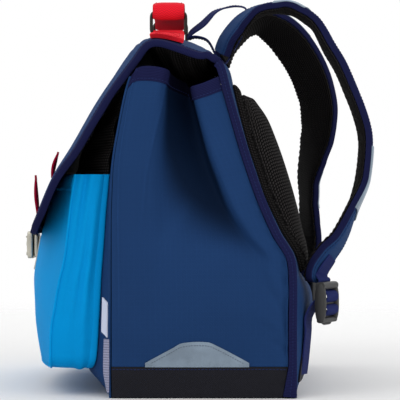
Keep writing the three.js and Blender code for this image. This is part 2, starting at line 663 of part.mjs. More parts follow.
// Half the flap's width a given inset inside its edge, at a distance above its lower edge
function flapHalf(above, inset) {
  const radius = FLAP_CORNER - inset;
  const rise = Math.min(radius, Math.max(0, above - inset));
  return FLAP_WIDTH / 2 - FLAP_CORNER + Math.sqrt(radius ** 2 - (radius - rise) ** 2);
}
const clothInset = FLAP_TAPE + 2 * GAP;
const FLAP_STEPS = [0, 0.045, 0.08, 0.12, 0.17, 0.23, 0.27, 0.32, 0.42, 0.54, 0.67];
const FLAP_COLUMNS = [1, 0.93, 0.8, 0.62, 0.42, 0.2, 0, -0.2, -0.42, -0.62, -0.8, -0.93, -1];
const flapRows = [...FLAP_STEPS, 0.79, 0.88, 0.93, 0.96, 0.985, 1].map((s) => {
  const at = s * (1 - clothInset / FLAP_LENGTH);
  const half = flapHalf((1 - at) * FLAP_LENGTH, clothInset);
  return FLAP_COLUMNS.map((u) => flapPoint(u * half, at));
});
add("flap", wall(flapRows, -FLAP_THICK, 0), NAVY);

// Tape round the flap's free edges, as the outline at three insets
function flapOutline(inset) {
  const right = [];
  const straight = 1 - FLAP_CORNER / FLAP_LENGTH;
  for (const at of [...FLAP_STEPS, straight]) {
    right.push([FLAP_WIDTH / 2 - inset, at]);
  }
  const radius = FLAP_CORNER - inset;
  for (const a of spread(Math.PI / 14, Math.PI / 2, 6)) {
    const above = FLAP_CORNER - radius * Math.sin(a);
    right.push([FLAP_WIDTH / 2 - FLAP_CORNER + radius * Math.cos(a), 1 - above / FLAP_LENGTH]);
  }
  for (const s of [0.7, 0.42, 0.15]) {
    right.push([s * (FLAP_WIDTH / 2 - FLAP_CORNER), 1 - inset / FLAP_LENGTH]);
  }
  return [...right, ...right.slice().reverse().map(([x, at]) => [-x, at])];
}
const insets = [0, FLAP_TAPE / 2, FLAP_TAPE].map((inset) => flapOutline(inset));
const flapTapeRows = insets[0].map((_, k) => insets.map((line) => flapPoint(line[k][0], line[k][1])));
add("flap_binding", wall(flapTapeRows, -FLAP_THICK - FLAP_TAPE_PROUD, FLAP_TAPE_PROUD), INDIGO);

// Pointed fabric tabs, sewn on the flap by their lower end and standing off it towards their tip
for (const { name, foot, long, standOff } of TABS) {
  const rows = spread(1, 0, 5).map((v) => {
    const half = (TAB_WIDTH / 2) * Math.sqrt(Math.max(0.02, 1 - v ** 2.4));
    return [1, 0, -1].map((u) => flapPoint(TAB_OUT + u * half, foot - (v * long) / FLAP_LENGTH));
  });
  const low = (u, v) => GAP + standOff * (1 - v) ** 1.3;
  const high = (u, v) => low(u, v) + TAB_THICK;
  add(name, wall(rows, low, high), CRIMSON);
}

// Clasp: plate on the pocket, lock body with a lip over the flap's edge, two rivets on the flap
const flapEdge = flapPoint(0, 1);
const plateTop = flapEdge.z - PLATE_BELOW;
const plateRows = grid([-0.5, 0, 0.5], [0, 0.5, 1], (u, v) => {
  const z = plateTop - PLATE_HEIGHT * (1 - v);
  return new THREE.Vector3(u * LOCK_WIDTH, pocketFace(u * LOCK_WIDTH, z), z);
});
const plateLow = CLOTH / 2 + GAP;
add("clasp_plate", wall(plateRows, plateLow, plateLow + PLATE_THICK), NICKEL);

const stepZ = flapEdge.z - (FLAP_THICK + FLAP_TAPE_PROUD) * flapNormal(0, 1).z - 2 * GAP;
const lockTop = stepZ + LOCK_OVERLAP;
const lockFoot = lockTop - LOCK_HEIGHT;
const lockBack = (z) => -pocketFace(0, z) + plateLow + PLATE_THICK + 3 * GAP;
const lipBack = -flapEdge.y + FLAP_TAPE_PROUD + 2 * GAP;
const lockFront = Math.max(lockBack(stepZ) + LOCK_THICK, lipBack + LOCK_LIP);
const lockProfile = new THREE.Shape([
  new THREE.Vector2(lockBack(lockFoot), lockFoot),
  new THREE.Vector2(lockFront - 2, lockFoot),
  new THREE.Vector2(lockFront, lockFoot + 3),
  new THREE.Vector2(lockFront, lockTop - 3),
  new THREE.Vector2(lockFront - 1.5, lockTop),
  new THREE.Vector2(lipBack, lockTop),
  new THREE.Vector2(lipBack, stepZ),
  new THREE.Vector2(lockBack(stepZ), stepZ),
]);
const lock = new THREE.ExtrudeGeometry(lockProfile, { depth: LOCK_WIDTH, bevelEnabled: false });
// The profile is drawn forward and up, and is stood across the bag.
lock.applyMatrix4(
  new THREE.Matrix4().makeBasis(
    new THREE.Vector3(0, -1, 0),
    new THREE.Vector3(0, 0, 1),
    new THREE.Vector3(-1, 0, 0),
  ),
);
add("clasp_lock", lock.translate(LOCK_WIDTH / 2, 0, 0), NICKEL);

const rivetProfile = [
  [0, GAP],
  [RIVET_RADIUS, GAP],
  [RIVET_RADIUS, GAP + 1],
  [RIVET_RADIUS * 0.7, GAP + 2.4],
  [0, GAP + 3],
].map(([r, h]) => new THREE.Vector2(r, h));
for (const [side, name] of [[1, "right"], [-1, "left"]]) {
  const at = 1 - (FLAP_TAPE + RIVET_RADIUS + RIVET_GAP) / FLAP_LENGTH;
  const x = (side * RIVET_SPACING) / 2;
  const rivet = add(`clasp_rivet_${name}`, new THREE.LatheGeometry(rivetProfile, 12), NICKEL);
  rivet.position.copy(flapPoint(x, at));
  rivet.quaternion.setFromUnitVectors(new THREE.Vector3(0, 1, 0), flapNormal(x, at));
}

// Handle rings: rounded rectangles that stand across the webbing
const ringX = HANDLE_SPAN / 2;
const ringSeat = flapPoint(ringX, HANDLE_PLACE);
const anchorSeat = 3 * GAP; // the anchors lie on a crowned face
const webbingHalf = HANDLE_WEBBING / 2 - GAP;
const lowerBarZ = ringSeat.z + anchorSeat + ANCHOR_LAYER + 1 + RING_WIRE / 2;
const ringWidth = HANDLE_WEBBING + 2 * RING_WIRE;
function roundedRectangle(width, height, radius) {
  const shape = new THREE.Shape();
  const x = width / 2 - radius;
  const y = height / 2 - radius;
  shape.absarc(x, y, radius, 0, Math.PI / 2);
  shape.absarc(-x, y, radius, Math.PI / 2, Math.PI);
  shape.absarc(-x, -y, radius, Math.PI, 1.5 * Math.PI);
  shape.absarc(x, -y, radius, 1.5 * Math.PI, 2 * Math.PI);
  return shape;
}
const ringShape = roundedRectangle(ringWidth, RING_HEIGHT, RING_WIRE);
const ringInside = [ringWidth - 2 * RING_WIRE, RING_HEIGHT - 2 * RING_WIRE];
ringShape.holes.push(roundedRectangle(...ringInside, RING_WIRE / 4));
const ringGeometry = new THREE.ExtrudeGeometry(ringShape, {
  depth: RING_WIRE,
  bevelEnabled: false,
  curveSegments: 2,
});
ringGeometry.translate(0, 0, -RING_WIRE / 2).rotateX(Math.PI / 2).rotateZ(Math.PI / 2);
for (const [side, name] of [[1, "right"], [-1, "left"]]) {
  const ring = add(`handle_ring_${name}`, ringGeometry.clone(), DARK_NICKEL);
  ring.position.set(side * ringX, ringSeat.y, lowerBarZ + RING_HEIGHT / 2 - RING_WIRE / 2);
}

// Handle anchors: webbing sewn flat on the flap, folded round the ring's lower bar and back
const acrossHandle = [1, 0, -1];
const layerPitch = ANCHOR_LAYER + GAP;
const LEVEL_PART = [0.08, 0.27]; // shares of the flap's length between which its top is nearly level
// The share of the flap's length at which its top lies a given distance forward
function flapShare(x, y) {
  let [near, far] = LEVEL_PART;
  while (far - near > 1e-4) {
    const middle = (near + far) / 2;
    if (flapPoint(x, middle).y > y) near = middle;
    else far = middle;
  }
  return near;
}
function anchorRow(x, offset) {
  return acrossHandle.map((u) => {
    const at = flapShare(x, ringSeat.y - u * webbingHalf);
    return flapPoint(x, at).addScaledVector(flapNormal(x, at), offset);
  });
}
const barRadius = RING_WIRE / Math.SQRT2 + GAP + ANCHOR_LAYER / 2;
const anchorRows = [];
const lowerLayer = anchorSeat + ANCHOR_LAYER / 2;
for (const x of spread(ringX + ANCHOR_LENGTH, ringX + 10, 4)) anchorRows.push(anchorRow(x, lowerLayer));
for (const a of spread(-0.45 * Math.PI, -1.72 * Math.PI, 8)) {
  const x = ringX + barRadius * Math.cos(a);
  const z = lowerBarZ + barRadius * Math.sin(a);
  anchorRows.push(acrossHandle.map((u) => new THREE.Vector3(x, ringSeat.y - u * webbingHalf, z)));
}
for (const x of spread(ringX + 12, ringX + ANCHOR_LENGTH, 4)) {
  anchorRows.push(anchorRow(x, lowerLayer + layerPitch));
}
addPair("handle_anchor", anchorRows, -ANCHOR_LAYER / 2, ANCHOR_LAYER / 2, {}, RED);

// Grip: one closed band of webbing through both rings, arched upwards
const upperBarZ = lowerBarZ + RING_HEIGHT - RING_WIRE;
const gripRadius = RING_WIRE / Math.SQRT2 + GAP + HANDLE_LAYER / 2;
const gripHeight = (x) => upperBarZ + HANDLE_ARCH * (1 - (x / ringX) ** 2);
const gripPath = [];
for (const x of spread(ringX, -ringX, 10)) gripPath.push([x, gripHeight(x) + gripRadius]);
for (const a of spread(0.7 * Math.PI, 1.3 * Math.PI, 2)) {
  gripPath.push([-ringX + gripRadius * Math.cos(a), upperBarZ + gripRadius * Math.sin(a)]);
}
for (const x of spread(-ringX, ringX, 10)) gripPath.push([x, gripHeight(x) - gripRadius]);
for (const a of spread(-0.3 * Math.PI, 0.3 * Math.PI, 2)) {
  gripPath.push([ringX + gripRadius * Math.cos(a), upperBarZ + gripRadius * Math.sin(a)]);
}
const gripRows = gripPath.map(([x, z]) =>
  [1, -1].map((u) => new THREE.Vector3(x, ringSeat.y - u * webbingHalf, z)),
);
add("handle_grip", wall(gripRows, -HANDLE_LAYER / 2, HANDLE_LAYER / 2, { ring: true }), RED);

// Hang loop: sewn on the flap's rear by its two ends, which meet
const loopSeats = HANG_SEATS.map((at) =>
  flapPoint(HANG_PLACE, at).addScaledVector(flapNormal(HANG_PLACE, at), 3 * GAP + HANG_THICK / 2),
);
const loopPath = [
  ...loopSeats,
  ...HANG_LOOP.map(
    (row) => new THREE.Vector3(HANG_PLACE, -row.forward * DEPTH, row.up * STRAP_RISE),
  ),
];
const loopCurve = new THREE.CatmullRomCurve3(loopPath, true, "centripetal");
const loopRows = loopCurve.getPoints(28).slice(0, -1).map((p) =>
  [0.5, -0.5].map((u) => new THREE.Vector3(p.x + u * HANG_WIDTH, p.y, p.z)),
);
add("hang_loop", wall(loopRows, -HANG_THICK / 2, HANG_THICK / 2, { ring: true }), NAVY);

// Back padding: a thin base and two thick pads on it
function domed(u, power) {
  return 1 - Math.abs(2 * u - 1) ** power;
}
const basePadLow = CLOTH / 2 + 2 * GAP;
const basePadRows = grid(
  within(backColumns.slice().reverse(), -BASE_PAD_WIDTH / 2, BASE_PAD_WIDTH / 2).reverse(),
  within(backHeights, BACK_PAD_FOOT, BASE_PAD_TOP),
  backPoint,
);
const BASE_PAD_EDGE = 1.5;
const basePadHigh = (u, v) => {
  const rise = Math.min(domed(u, 8), domed(v, 8)) ** 0.5;
  return basePadLow + BASE_PAD_EDGE + (BASE_PAD_THICK - BASE_PAD_EDGE) * rise;
};
add("back_base_pad", wall(basePadRows, basePadLow, basePadHigh), MESH);
const padIn = BACK_PAD_GAP / 2;
const padLow = basePadLow + BASE_PAD_THICK + 2 * GAP;
const PAD_EDGE = 2;
const padShares = [0, 0.045, 0.12, 0.24, 0.4, 0.55, 0.7, 0.84, 0.94, 1];
const padHeights = padShares.map((s) => THREE.MathUtils.lerp(BACK_PAD_FOOT, BACK_PAD_TOP, s));
const padRows = grid(spread(padIn + BACK_PAD_WIDTH, padIn, 8), padHeights, backPoint);
const padHigh = (u, v) => {
  const up = padShares[Math.round(v * (padShares.length - 1))];
  const thick = BACK_PAD_THICK * read(BACK_PAD, "up", "thick", up);
  return padLow + PAD_EDGE + Math.max(0, thick - padLow - PAD_EDGE) * domed(u, 3.2);
};
addPair("back_pad", padRows, padLow, padHigh, {}, MESH);

// Shoulder straps: place, route direction and width direction along a route
function strapRoute(table, side) {
  const points = table.map(({ out, back, up }) => {
    return new THREE.Vector3((side * out * WIDTH) / 2, back * STRAP_REACH, up * STRAP_RISE);
  });
  const curve = new THREE.CatmullRomCurve3(points, false, "centripetal");
  const frame = (s) => {
    const place = curve.getPointAt(s);
    const along = curve.getTangentAt(s);
    const t = curve.getUtoTmapping(s) * (table.length - 1);
    const i = Math.min(Math.floor(t), table.length - 2);
    const degrees = THREE.MathUtils.lerp(table[i].turn, table[i + 1].turn, t - i);
    const wide = new THREE.Vector3(1, 0, 0).addScaledVector(along, -along.x).normalize();
    wide.applyAxisAngle(along, side * THREE.MathUtils.degToRad(degrees));
    return { place, along, wide, out: new THREE.Vector3().crossVectors(wide, along) };
  };
  return { curve, frame };
}
// Rows of points on a strap's middle surface, a share of its width and an offset along its face
function strapRows(route, us, ss, offset = 0) {
  return ss.map((s) => {
    const { place, wide, out } = route.frame(s);
    const width = STRAP_WIDTH * read(STRAP_TAPER, "along", "wide", s);
    const middle = place.clone().addScaledVector(out, offset);
    return us.map((u) => middle.clone().addScaledVector(wide, u * width));
  });
}
const strapSteps = spread(0, 1, 22);
const strapLow = -(STRAP_OUTER + STRAP_MESH) / 2 + STRAP_MESH;

// A band that arrives at a bar, folds round it and runs back beside itself
function foldedBand(rows, bar, across, arrive, side, back) {
  const beside = (ahead, out) => {
    const middle = bar.clone().addScaledVector(arrive, ahead).addScaledVector(side, out);
    return [-0.5, 0.5].map((u) => middle.clone().addScaledVector(across, u * WEBBING));
  };
  const fold = spread(-0.5 * Math.PI, 0.5 * Math.PI, 5).map((a) =>
    beside(foldRadius * Math.cos(a), foldRadius * Math.sin(a)),
  );
  return [...rows, beside(-BUCKLE_BAR, -foldRadius), ...fold, beside(-back, foldRadius)];
}

// Buckle: a ladder of three bars, turned about the vertical
const buckleShape = roundedRectangle(BUCKLE_WIDTH, BUCKLE_HEIGHT, 4);
const slot = (BUCKLE_HEIGHT - 3 * BUCKLE_BAR) / 2;
for (const end of [-1, 1]) {
  const hole = new THREE.Path();
  const x = BUCKLE_WIDTH / 2 - BUCKLE_RAIL;
  const low = (end * (slot + BUCKLE_BAR)) / 2 - slot / 2;
  hole.moveTo(-x, low).lineTo(x, low).lineTo(x, low + slot).lineTo(-x, low + slot).closePath();
  buckleShape.holes.push(hole);
}
const barOffset = BUCKLE_HEIGHT / 2 - BUCKLE_BAR / 2;
const foldRadius = Math.hypot(BUCKLE_BAR, BUCKLE_THICK) / 2 + 2 * GAP + WEBBING_THICK / 2;
const buckleGeometry = new THREE.ExtrudeGeometry(buckleShape, {
  depth: BUCKLE_THICK,
  bevelEnabled: false,
  curveSegments: 2,
});
buckleGeometry.translate(0, 0, -BUCKLE_THICK / 2).rotateX(Math.PI / 2);

for (const [side, name, table] of [[1, "right", STRAP_RIGHT], [-1, "left", STRAP_LEFT]]) {
  const route = strapRoute(table, side);
  const atEdge = (u) => u === 0 || u === 1;
  const middleRows = strapRows(route, [-0.5, -STRAP_EDGE, STRAP_EDGE, 0.5], strapSteps);
  const coverHigh = (u) => strapLow + STRAP_OUTER * (atEdge(u) ? 0.5 : 1);
  add(`strap_pad_${name}`, wall(middleRows, strapLow, coverHigh), NAVY);
  const meshLow = (u) => strapLow - GAP - STRAP_MESH * (atEdge(u) ? 0.6 : 1);
  add(`strap_mesh_${name}`, wall(middleRows, meshLow, strapLow - GAP), MESH);

  const onStrap = strapLow + STRAP_OUTER + 3 * GAP;
  for (const { part, from, to } of STRAP_PATCHES) {
    const rows = strapRows(route, [-STRAP_PATCH_HALF, STRAP_PATCH_HALF], spread(from, to, 4));
    add(`strap_reflector_${part}_${name}`, wall(rows, onStrap, onStrap + 1.5 * PATCH), SILVER);
  }

  const end = route.frame(1);
  const buckleWide = new THREE.Vector3(Math.cos(BUCKLE_TURN), -side * Math.sin(BUCKLE_TURN), 0);
  const buckleOut = new THREE.Vector3(side * Math.sin(BUCKLE_TURN), Math.cos(BUCKLE_TURN), 0);
  const down = new THREE.Vector3(0, 0, -1);
  const buckleTop = end.place.clone().addScaledVector(buckleOut, BUCKLE_OUT);
  const buckleMiddle = buckleTop.addScaledVector(down, BUCKLE_HEIGHT / 2);
  const buckle = add(`buckle_${name}`, buckleGeometry.clone(), PLASTIC);
  buckle.position.copy(buckleMiddle);
  buckle.rotation.z = -side * BUCKLE_TURN;

  const overPad = strapLow + STRAP_OUTER + 5 * GAP + WEBBING_THICK / 2;
  const upperPath = [0.92, 0.94, 0.96, 0.975].map((s) => {
    const { place, out, wide } = route.frame(s);
    const middle = place.addScaledVector(out, overPad);
    return [-0.5, 0.5].map((u) => middle.clone().addScaledVector(wide, u * WEBBING));
  });
  const upperBar = buckleMiddle.clone().addScaledVector(down, -barOffset);
  const inwards = buckleOut.clone().negate();
  const upperRows = foldedBand(upperPath, upperBar, buckleWide, down, inwards, 1);
  add(`strap_webbing_${name}`, wall(upperRows, -WEBBING_THICK / 2, WEBBING_THICK / 2), NAVY);

  const lowerBar = buckleMiddle.clone().addScaledVector(down, barOffset);
  const overPatch = patchLow + PATCH + 3 * GAP + WEBBING_THICK / 2;
  const lowerPath = ANCHOR_HEIGHTS.map((z) =>
    [-0.5, 0.5].map((u) => {
      const point = backPoint(side * ANCHOR_OUT + u * WEBBING, z);
      return point.setY(point.y + overPatch);
    }),
  );
  const lowerRows = foldedBand(lowerPath, lowerBar, buckleWide, down.clone().negate(), buckleOut, 10);
  add(`anchor_webbing_${name}`, wall(lowerRows, -WEBBING_THICK / 2, WEBBING_THICK / 2), NAVY);
}

// Black patches that hold the lower webbing, sewn on the back
const anchorPatchRows = spread(0, 1, 4).map((v) => {
  const half = (ANCHOR_PATCH_WIDTH / 2) * (1 - ANCHOR_PATCH_TAPER * v);
  const z = ANCHOR_PATCH_FOOT + v * ANCHOR_PATCH_HEIGHT;
  return [1, 0, -1].map((u) => backPoint(ANCHOR_OUT + u * half, z));
});
addPair("anchor_patch", anchorPatchRows, patchLow, patchLow + PATCH, { level: true }, BLACK);

export default bag;
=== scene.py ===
"""Dresses the solids of a school satchel: cloth with folds and seams, padded straps, metal and webbing."""

import json
import math

import bpy
import numpy as np
from bpy.props import FloatProperty, FloatVectorProperty, PointerProperty
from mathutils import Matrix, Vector


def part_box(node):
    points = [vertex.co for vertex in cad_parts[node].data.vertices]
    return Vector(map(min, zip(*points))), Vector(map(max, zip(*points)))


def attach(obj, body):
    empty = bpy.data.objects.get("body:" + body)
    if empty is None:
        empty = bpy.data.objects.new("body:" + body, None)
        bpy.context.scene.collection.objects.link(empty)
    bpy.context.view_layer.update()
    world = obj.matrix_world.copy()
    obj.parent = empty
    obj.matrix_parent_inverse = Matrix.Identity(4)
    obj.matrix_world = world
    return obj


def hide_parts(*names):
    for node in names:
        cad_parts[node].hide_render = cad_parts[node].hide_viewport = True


bl_info = {
    "name": "School satchel",
    "version": (1, 0, 0),
    "blender": (4, 5, 0),
    "location": "View3D > Sidebar > Satchel",
    "description": "Builds the visible cloth, padding, webbing and metal of a school satchel",
    "category": "Object",
}

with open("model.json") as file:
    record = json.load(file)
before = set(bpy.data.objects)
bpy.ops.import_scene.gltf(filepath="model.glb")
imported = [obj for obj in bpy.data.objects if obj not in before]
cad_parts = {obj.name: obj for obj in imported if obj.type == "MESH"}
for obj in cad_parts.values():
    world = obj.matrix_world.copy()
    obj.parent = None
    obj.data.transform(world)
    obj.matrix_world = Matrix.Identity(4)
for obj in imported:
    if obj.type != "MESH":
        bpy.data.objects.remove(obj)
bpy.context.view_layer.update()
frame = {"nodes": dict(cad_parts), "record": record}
TINTS = {m["slot"]: m["base_color"] for m in frame["record"]["materials"]}
MM = 0.001

# Sizes of the pieces. Most are those of the solids. The pocket's corner, the corner strip, the label, the
# clasp, the handle and the buckle follow the photograph more closely.
WIDTH = 380 * MM
DEPTH = 176 * MM
SIDE_HEIGHT = 316 * MM
BACK_HEIGHT = 322 * MM
FRONT_HEIGHT = 306 * MM
CLOTH = 2 * MM
GAP = 0.3 * MM
SEAM = 1.8 * MM
FOLD_DEPTH = 45 * MM
FRONT_BULGE = 26 * MM
BACK_BULGE = 22 * MM
HEM = 14 * MM
HEM_THICK = 3.4 * MM
SEAM_SET = 2 * MM
BAND_HEIGHT = 30 * MM
BAND_THICK = 2.5 * MM
TAPE = 8 * MM
TAPE_THICK = 6 * MM
FLAP_WIDTH = 378 * MM
FLAP_LENGTH = 310 * MM
FLAP_HEIGHT = 355 * MM
FLAP_REACH = 182 * MM
FLAP_THICK = 4 * MM
FLAP_CORNER = 50 * MM
FLAP_TAPE = 10 * MM
FLAP_TAPE_PROUD = 1.2 * MM
TOP_TAPE = (13 * MM, 6.5 * MM)
LINING_HALF = 0.4 * MM
SLACK_SAG = 52 * MM
SLACK_INSET = 16 * MM
HANGING_REACH = 40 * MM
HANGING_INSET = 24 * MM
POCKET_WIDTH = 340 * MM
POCKET_FOOT = 28 * MM
POCKET_TOP = 213 * MM
POCKET_DEPTH = 60 * MM
POCKET_BULGE = 37 * MM
POCKET_CORNER = 12 * MM
PIPING = 7 * MM
PIPING_THICK = 3.4 * MM
POCKET_BELLY = 3.2 * MM
SEAM_ROLL = 2.6 * MM
PATCH = 1.2 * MM
SIDE_PATCH_LENGTH = 99 * MM
SIDE_PATCH_HEIGHT = 22 * MM
SIDE_PATCH_MIDDLE = 0.46
CORNER_PATCH_WIDTH = 6.5 * MM
CORNER_PATCH_HEIGHT = 51 * MM
STRIP_FOOT = 5 * MM
LABEL_WIDTH = 7 * MM
LABEL_HEIGHT = 33 * MM
LABEL_GAP = 4 * MM
LABEL_SLANT = 5 * MM
LABEL_LIFT = 1.5 * MM
CLASP_FRONT = 7 * MM
CLASP_REAR = 4.5 * MM
CLASP_BUTTON = (7.5 * MM, 4.2 * MM, 1.4 * MM)
CLASP_EAR = (2.2 * MM, 2.2 * MM, 0.5 * MM)
RIVET_RISE = 18.5 * MM
RIVET_RADIUS = 4.4 * MM
RIVET_HEIGHT = 3 * MM
TAB_WIDTH = 22 * MM
TAB_THICK = 2 * MM
TAB_OUT = 30 * MM
TAB_CUP = 2.6 * MM
HANDLE_SPAN = 120 * MM
HANDLE_PLACE = 0.195
HANDLE_WEBBING = 31 * MM
HANDLE_ARCH = 6 * MM
HANDLE_FORWARD = 3 * MM
HANDLE_LAYER = 4.4 * MM
RING_HEIGHT = 27 * MM
RING_WIRE = 4 * MM
ANCHOR_LENGTH = 112 * MM
ANCHOR_LAYER = 2 * MM
HANG_WIDTH = 20 * MM
HANG_THICK = 1.6 * MM
HANG_PLACE = 12 * MM
BACK_PAD_WIDTH = 122 * MM
BACK_PAD_GAP = 34 * MM
BACK_PAD_THICK = 33 * MM
BACK_PAD_FOOT = 118 * MM
BACK_PAD_TOP = 289 * MM
BASE_PAD_TOP = 300 * MM
BASE_PAD_THICK = 6 * MM
BASE_PAD_WIDTH = 300 * MM
STRAP_WIDTH = 58 * MM
STRAP_OUTER = 7.2 * MM
STRAP_MESH = 4.6 * MM
STRAP_ROLL = (2.6 * MM, 6.4 * MM)
STRAP_RISE = 392 * MM
STRAP_REACH = 160 * MM
WEBBING = 25 * MM
WEBBING_THICK = 1.8 * MM
BUCKLE_WIDTH = 34 * MM
BUCKLE_HEIGHT = 38 * MM
BUCKLE_THICK = 5 * MM
BUCKLE_BAR = 5 * MM
CHEEK_HALF = 2.4 * MM
CHEEK_DEPTH = 5.6 * MM
TONGUE_LENGTH = 8 * MM
TONGUE_THICK = 3.6 * MM
BUCKLE_TURN = 0.5
BUCKLE_OUT = 13.5 * MM
ANCHOR_OUT = WIDTH / 2 - 33 * MM
ANCHOR_HEIGHTS = (20 * MM, 34 * MM, 48 * MM, 62 * MM, 76 * MM)
ANCHOR_PATCH_FOOT = 14 * MM
ANCHOR_PATCH_HEIGHT = 32 * MM
ANCHOR_PATCH_WIDTH = 40 * MM
ANCHOR_PATCH_TAPER = 0.6

# Looks: the cloth's gloss, the share of its sheen that the studio needs, how much richer than its grey a
# colour is made, and the shares of the main light that the other two have
CLOTH_GLOSS = 0.04
SHEEN_SHARE = 0.12
RICHNESS = 1.05
FILL_SHARE = 0.45
REAR_SHARE = 0.5

# The photograph's camera: its place and its lens for a 36 mm sensor
CAMERA_PLACE = (2000 * MM, -4.2 * MM, 188.4 * MM)
CAMERA_LENS = 171.45


def table(names, *rows):
    """Rows of numbers under named columns, as one array for each column. The first column is the place."""
    values = np.array(rows, float)
    return {"place": names.split()[0], **dict(zip(names.split(), values.T))}


# Outline of the bag seen from its side, as in the solids: shares of the height, of half the depth, of the
# pleat's depth, and the places across the side where the pleat starts, is deepest and ends
SIDE = table(
    "up front rear fold crease valley rise",
    (0, 1, 1, 0, 0.3, 0.84, 0.92), (0.2, 1, 1, 0, 0.3, 0.84, 0.92), (0.37, 1, 1, 0.03, 0.28, 0.84, 0.92),
    (0.43, 1, 0.966, 0.1, 0.28, 0.83, 0.91), (0.5, 1, 0.818, 0.25, 0.28, 0.79, 0.87),
    (0.595, 0.995, 0.665, 0.42, 0.295, 0.74, 0.83), (0.715, 0.97, 0.511, 0.62, 0.32, 0.7, 0.79),
    (0.83, 0.9, 0.386, 0.8, 0.35, 0.68, 0.75), (0.93, 0.825, 0.284, 0.95, 0.375, 0.66, 0.72),
    (1, 0.745, 0.216, 1, 0.385, 0.655, 0.71), (1.02, 0.73, 0.16, 1, 0.385, 0.655, 0.71),
)
# Height of the side's free edge across it
SIDE_TOP = table(
    "across top",
    (0, 0.975), (0.1, 0.995), (0.25, 0.998), (0.4, 0.984), (0.62, 0.945), (0.75, 0.938), (1, 0.968),
)
# How far the front and the back wall stand out at each height
BULGE = table(
    "up front back",
    (0, 0, 0), (0.038, 0.56, 0.36), (0.08, 1, 0.62), (0.19, 0.88, 0.92), (0.26, 0.78, 1), (0.32, 0.7, 0.86),
    (0.38, 0.6, 0.3), (0.54, 0.3, 0.16), (0.69, 0.08, 0.14), (0.85, 0.04, 0.2), (1.02, 0.04, 0.36),
)
# The flap from the back to its free edge: places forward and up of its edges and of its middle
FLAP = table(
    "at edge_y edge_z mid_y mid_z",
    (0, -0.082, 0.907, -0.121, 0.91), (0.05, -0.014, 0.924, -0.071, 0.944),
    (0.08, 0.022, 0.921, -0.03, 0.966), (0.155, 0.143, 0.941, 0.1, 0.996), (0.225, 0.25, 0.955, 0.242, 1),
    (0.265, 0.308, 0.946, 0.33, 0.995), (0.325, 0.363, 0.907, 0.415, 0.963),
    (0.48, 0.508, 0.806, 0.571, 0.845), (0.69, 0.681, 0.659, 0.747, 0.693), (0.8, 0.78, 0.589, 0.85, 0.603),
    (0.925, 0.856, 0.496, 0.932, 0.501), (1, 0.896, 0.442, 0.966, 0.434),
)
# The pocket at each height: how far forward its seam stands, and its bulge
POCKET = table(
    "up seam bulge",
    (0, 1, 0.5), (0.2, 0.985, 0.7), (0.31, 0.93, 0.84), (0.44, 0.86, 0.97), (0.55, 0.78, 1),
    (0.7, 0.72, 0.96), (0.86, 0.665, 0.8), (1, 0.6, 0.6),
)
# Outline of the side's silver patch
SIDE_ARCH = table(
    "across height",
    (0, 0.1), (0.26, 0.73), (0.36, 0.96), (0.6, 1), (0.7, 0.82), (0.88, 0.4), (1, 0.1),
)
# Thickness of a back pad from its foot up
BACK_PAD = table(
    "up thick",
    (0, 0.28), (0.06, 0.46), (0.14, 0.6), (0.26, 0.8), (0.4, 0.96), (0.55, 1), (0.7, 1), (0.84, 0.9),
    (0.94, 0.7), (0.98, 0.6), (1, 0.46),
)
# Each strap's route from the flap to the buckle: shares of half the width, of the reach and of the rise,
# then the turn about the route in degrees
STRAP_RIGHT = table(
    "out back up turn",
    (0.28, 0.12, 0.862, 14), (0.29, 0.155, 0.898, 14), (0.3, 0.228, 0.936, 14), (0.32, 0.3, 0.959, 10),
    (0.34, 0.366, 0.971, 6), (0.37, 0.454, 0.9755, 3), (0.4, 0.553, 0.971, 2), (0.43, 0.633, 0.953, 2),
    (0.46, 0.701, 0.928, 2), (0.5, 0.78, 0.869, 0), (0.54, 0.85, 0.816, 0), (0.57, 0.906, 0.76, 0),
    (0.6, 0.955, 0.705, 0), (0.63, 0.985, 0.655, 0), (0.66, 0.99, 0.61, 0), (0.7, 0.958, 0.518, 0),
    (0.74, 0.9, 0.458, 6), (0.77, 0.81, 0.381, 14), (0.785, 0.74, 0.346, 22), (0.788, 0.682, 0.308, 27),
    (0.79, 0.668, 0.276, 29),
)
STRAP_LEFT = table(
    "out back up turn",
    (0.28, 0.12, 0.862, 14), (0.29, 0.155, 0.898, 14), (0.3, 0.228, 0.936, 14), (0.31, 0.3, 0.96, 12),
    (0.32, 0.366, 0.972, 16), (0.335, 0.42, 0.97, 22), (0.35, 0.48, 0.957, 28), (0.37, 0.54, 0.938, 32),
    (0.39, 0.6, 0.911, 35), (0.42, 0.675, 0.867, 35), (0.46, 0.735, 0.818, 35), (0.52, 0.78, 0.757, 34),
    (0.57, 0.79, 0.715, 32), (0.62, 0.785, 0.67, 30), (0.68, 0.762, 0.62, 24), (0.76, 0.735, 0.55, 14),
    (0.8, 0.74, 0.48, 10), (0.8, 0.745, 0.41, 14), (0.79, 0.735, 0.346, 22), (0.79, 0.682, 0.308, 27),
    (0.79, 0.668, 0.276, 29),
)
# Width along a strap
STRAP_TAPER = table(
    "along wide",
    (0, 0.86), (0.15, 0.95), (0.4, 1), (0.8, 1), (0.93, 0.85), (1, 0.55),
)
# Where the silver patches start and end along a strap
STRAP_PATCHES = {"upper": (0.2, 0.283), "lower": (0.656, 0.81)}
# Each tab's place down the flap, its length, and how far its point stands off
TABS = {"tab_lower": (0.94, 36 * MM, 17 * MM), "tab_upper": (0.81, 24 * MM, 8 * MM)}
# Where the hang loop is sewn down the flap, and its free part: shares of the depth forwards and of the
# straps' rise
HANG_SEATS = (0.02, 0.05)
HANG_LOOP = table(
    "forward up",
    (-0.02, 0.905), (0.05, 0.9145), (0.09, 0.912), (0.075, 0.925), (0.005, 0.95), (-0.065, 0.981),
    (-0.13, 0.992), (-0.195, 0.996), (-0.245, 0.99), (-0.262, 0.965), (-0.23, 0.925), (-0.185, 0.885),
)

